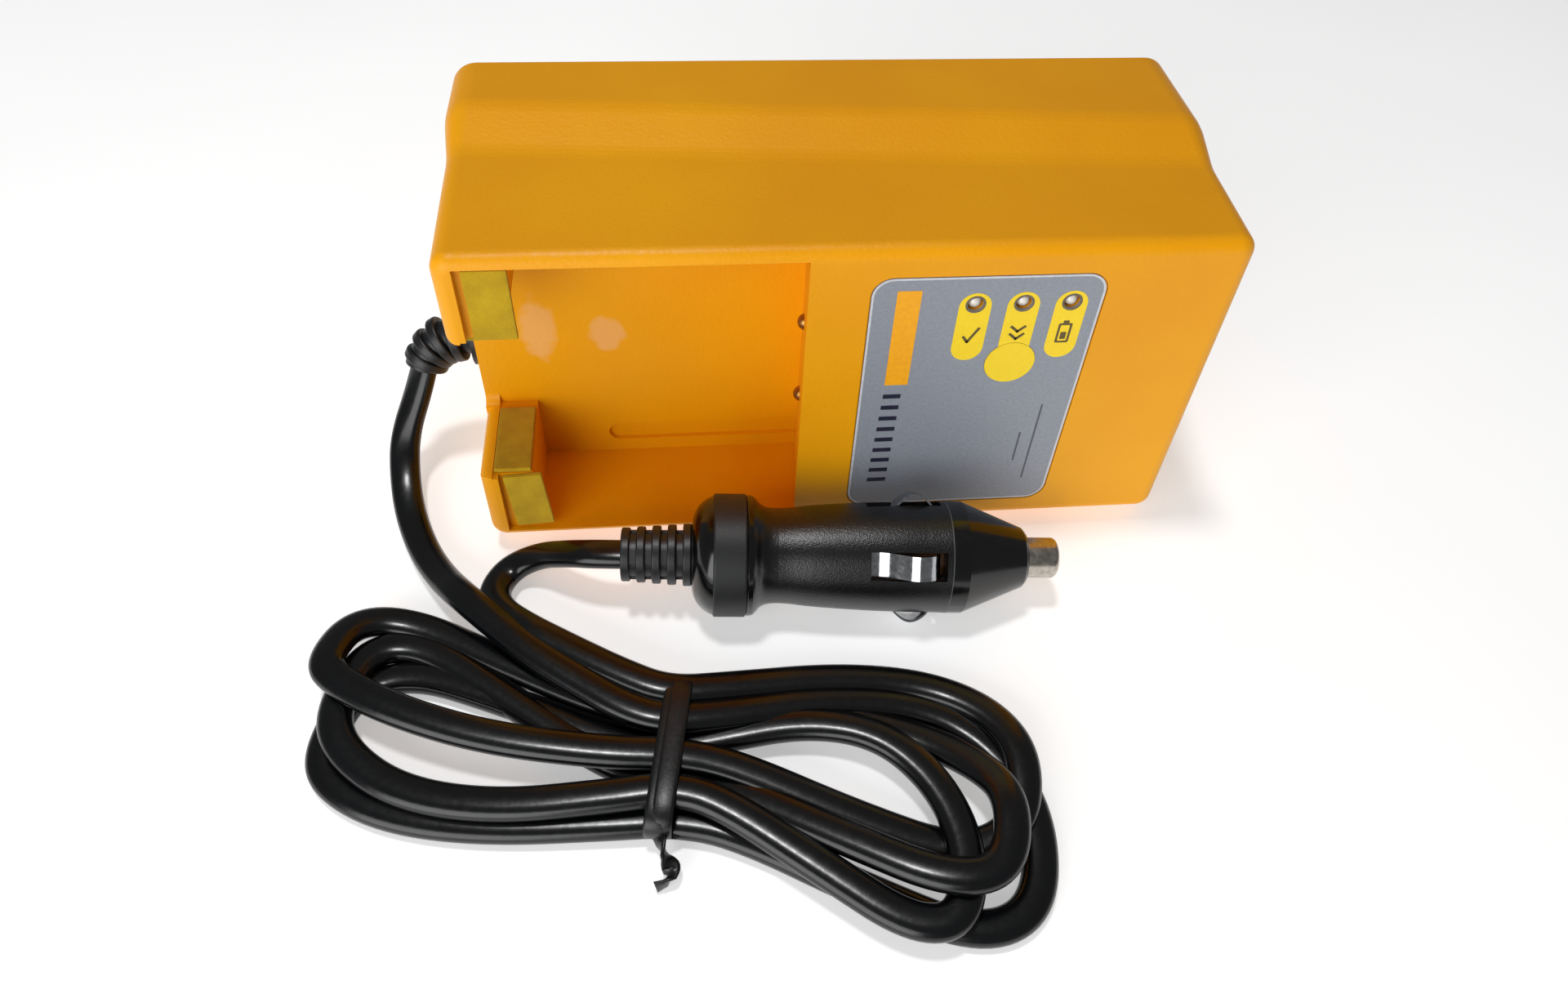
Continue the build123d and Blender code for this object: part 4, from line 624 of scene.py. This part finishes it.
# thin PVC insulation
red_pvc = wander("red_wire_pvc", "#A51210", "#BE1C18", 0.35, 0.9, 0.08, IOR=1.53)
coat(red_pvc, "wire_positive")
black_pvc = wander("black_wire_pvc", "#0B0B0C", "#17181A", 0.35, 0.9, 0.08, IOR=1.53)
coat(black_pvc, "wire_negative")

# ---------------------------------------------------------------- tie
# A flat twist tie, a steel wire in black plastic 3.6 mm wide, goes twice round the bundle at a slant. Its
# two ends are twisted together in front and bent down on the surface.
TIE_WIDE = 3.6
TIE_THIN = 0.75
TIE_MIDDLE = (-32.6, -77.4, 4.75)
TIE_HALF = (14.0, 3.95)
TIE_SLANT = 2.2
TIE_TURN = 2.1
TIE_STEPS = 96
TAIL_WIDE = 3.0
TAIL_THIN = 0.9
TAIL_STEPS = 48
BAND_SIDES = 12


def strap(name, stations, wide, thin, material):
    """A flat band with round edges, through stations: a place, and the direction of its width there."""
    made = bmesh.new()
    rings = []
    for i, (place, width) in enumerate(stations):
        before = stations[max(i - 1, 0)][0]
        after = stations[min(i + 1, len(stations) - 1)][0]
        forward = (after - before).normalized()
        side = (width - forward * width.dot(forward)).normalized()
        up = forward.cross(side)
        ring = []
        for k in range(BAND_SIDES):
            turn = 2 * pi * k / BAND_SIDES
            flat = abs(cos(turn)) ** 0.6 * (1 if cos(turn) >= 0 else -1)
            rise = abs(sin(turn)) ** 0.8 * (1 if sin(turn) >= 0 else -1)
            ring.append(made.verts.new((place + side * flat * wide / 2 + up * rise * thin / 2) * MM))
        rings.append(ring)
    for ring, following in zip(rings, rings[1:]):
        for k in range(BAND_SIDES):
            j = (k + 1) % BAND_SIDES
            made.faces.new((ring[k], ring[j], following[j], following[k]))
    made.faces.new(rings[0][::-1])
    made.faces.new(rings[-1])
    bmesh.ops.recalc_face_normals(made, faces=made.faces)
    for face in made.faces:
        face.smooth = len(face.verts) == 4
    mesh = bpy.data.meshes.new(name)
    made.to_mesh(mesh)
    made.free()
    mesh.materials.append(material)
    return link(bpy.data.objects.new(name, mesh))


# plastic-coated wire: satin black, with the wire's ridge and small creases
tie_black = wander("coated_tie_plastic", "#050607", "#0D0E11", 0.34, 0.9, 0.3, IOR=1.5)
stations = []
for i in range(TIE_STEPS + 1):
    turn = radians(-100 + 720 * i / TIE_STEPS)
    flat = abs(sin(turn)) ** 0.55 * (1 if sin(turn) >= 0 else -1)
    rise = abs(cos(turn)) ** 0.7 * (1 if cos(turn) >= 0 else -1)
    high = TIE_HALF[1] - 0.2 * (i < TIE_STEPS / 2)
    place = Vector((TIE_SLANT * flat + TIE_TURN * (i / TIE_STEPS - 0.5), TIE_HALF[0] * flat, high * rise))
    stations.append((place + Vector(TIE_MIDDLE), Vector((1.0, -0.15, 0.0))))
tie = strap("cord_tie_strap", stations, TIE_WIDE, TIE_THIN, tie_black)
tail_places = [(-34.9, -90.6, 4.4), (-34.8, -92.4, 4.0), (-34.2, -94.4, 3.4), (-33.3, -96.0, 2.7),
               (-33.4, -97.2, 2.1), (-34.4, -98.1, 1.7), (-35.8, -98.5, 1.5)]
tail_steps = []
for i in range(TAIL_STEPS + 1):
    t = i / TAIL_STEPS * (len(tail_places) - 1)
    k = min(int(t), len(tail_places) - 2)
    place = Vector(tail_places[k]).lerp(Vector(tail_places[k + 1]), t - k)
    spin = radians(10 + 330 * i / TAIL_STEPS)
    tail_steps.append((place, Vector((cos(spin), 0.2, sin(spin)))))
tail = strap("cord_tie_tail", tail_steps, TAIL_WIDE, TAIL_THIN, tie_black)
for piece in (tie, tail):
    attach(piece, "charger")
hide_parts("cord_tie")
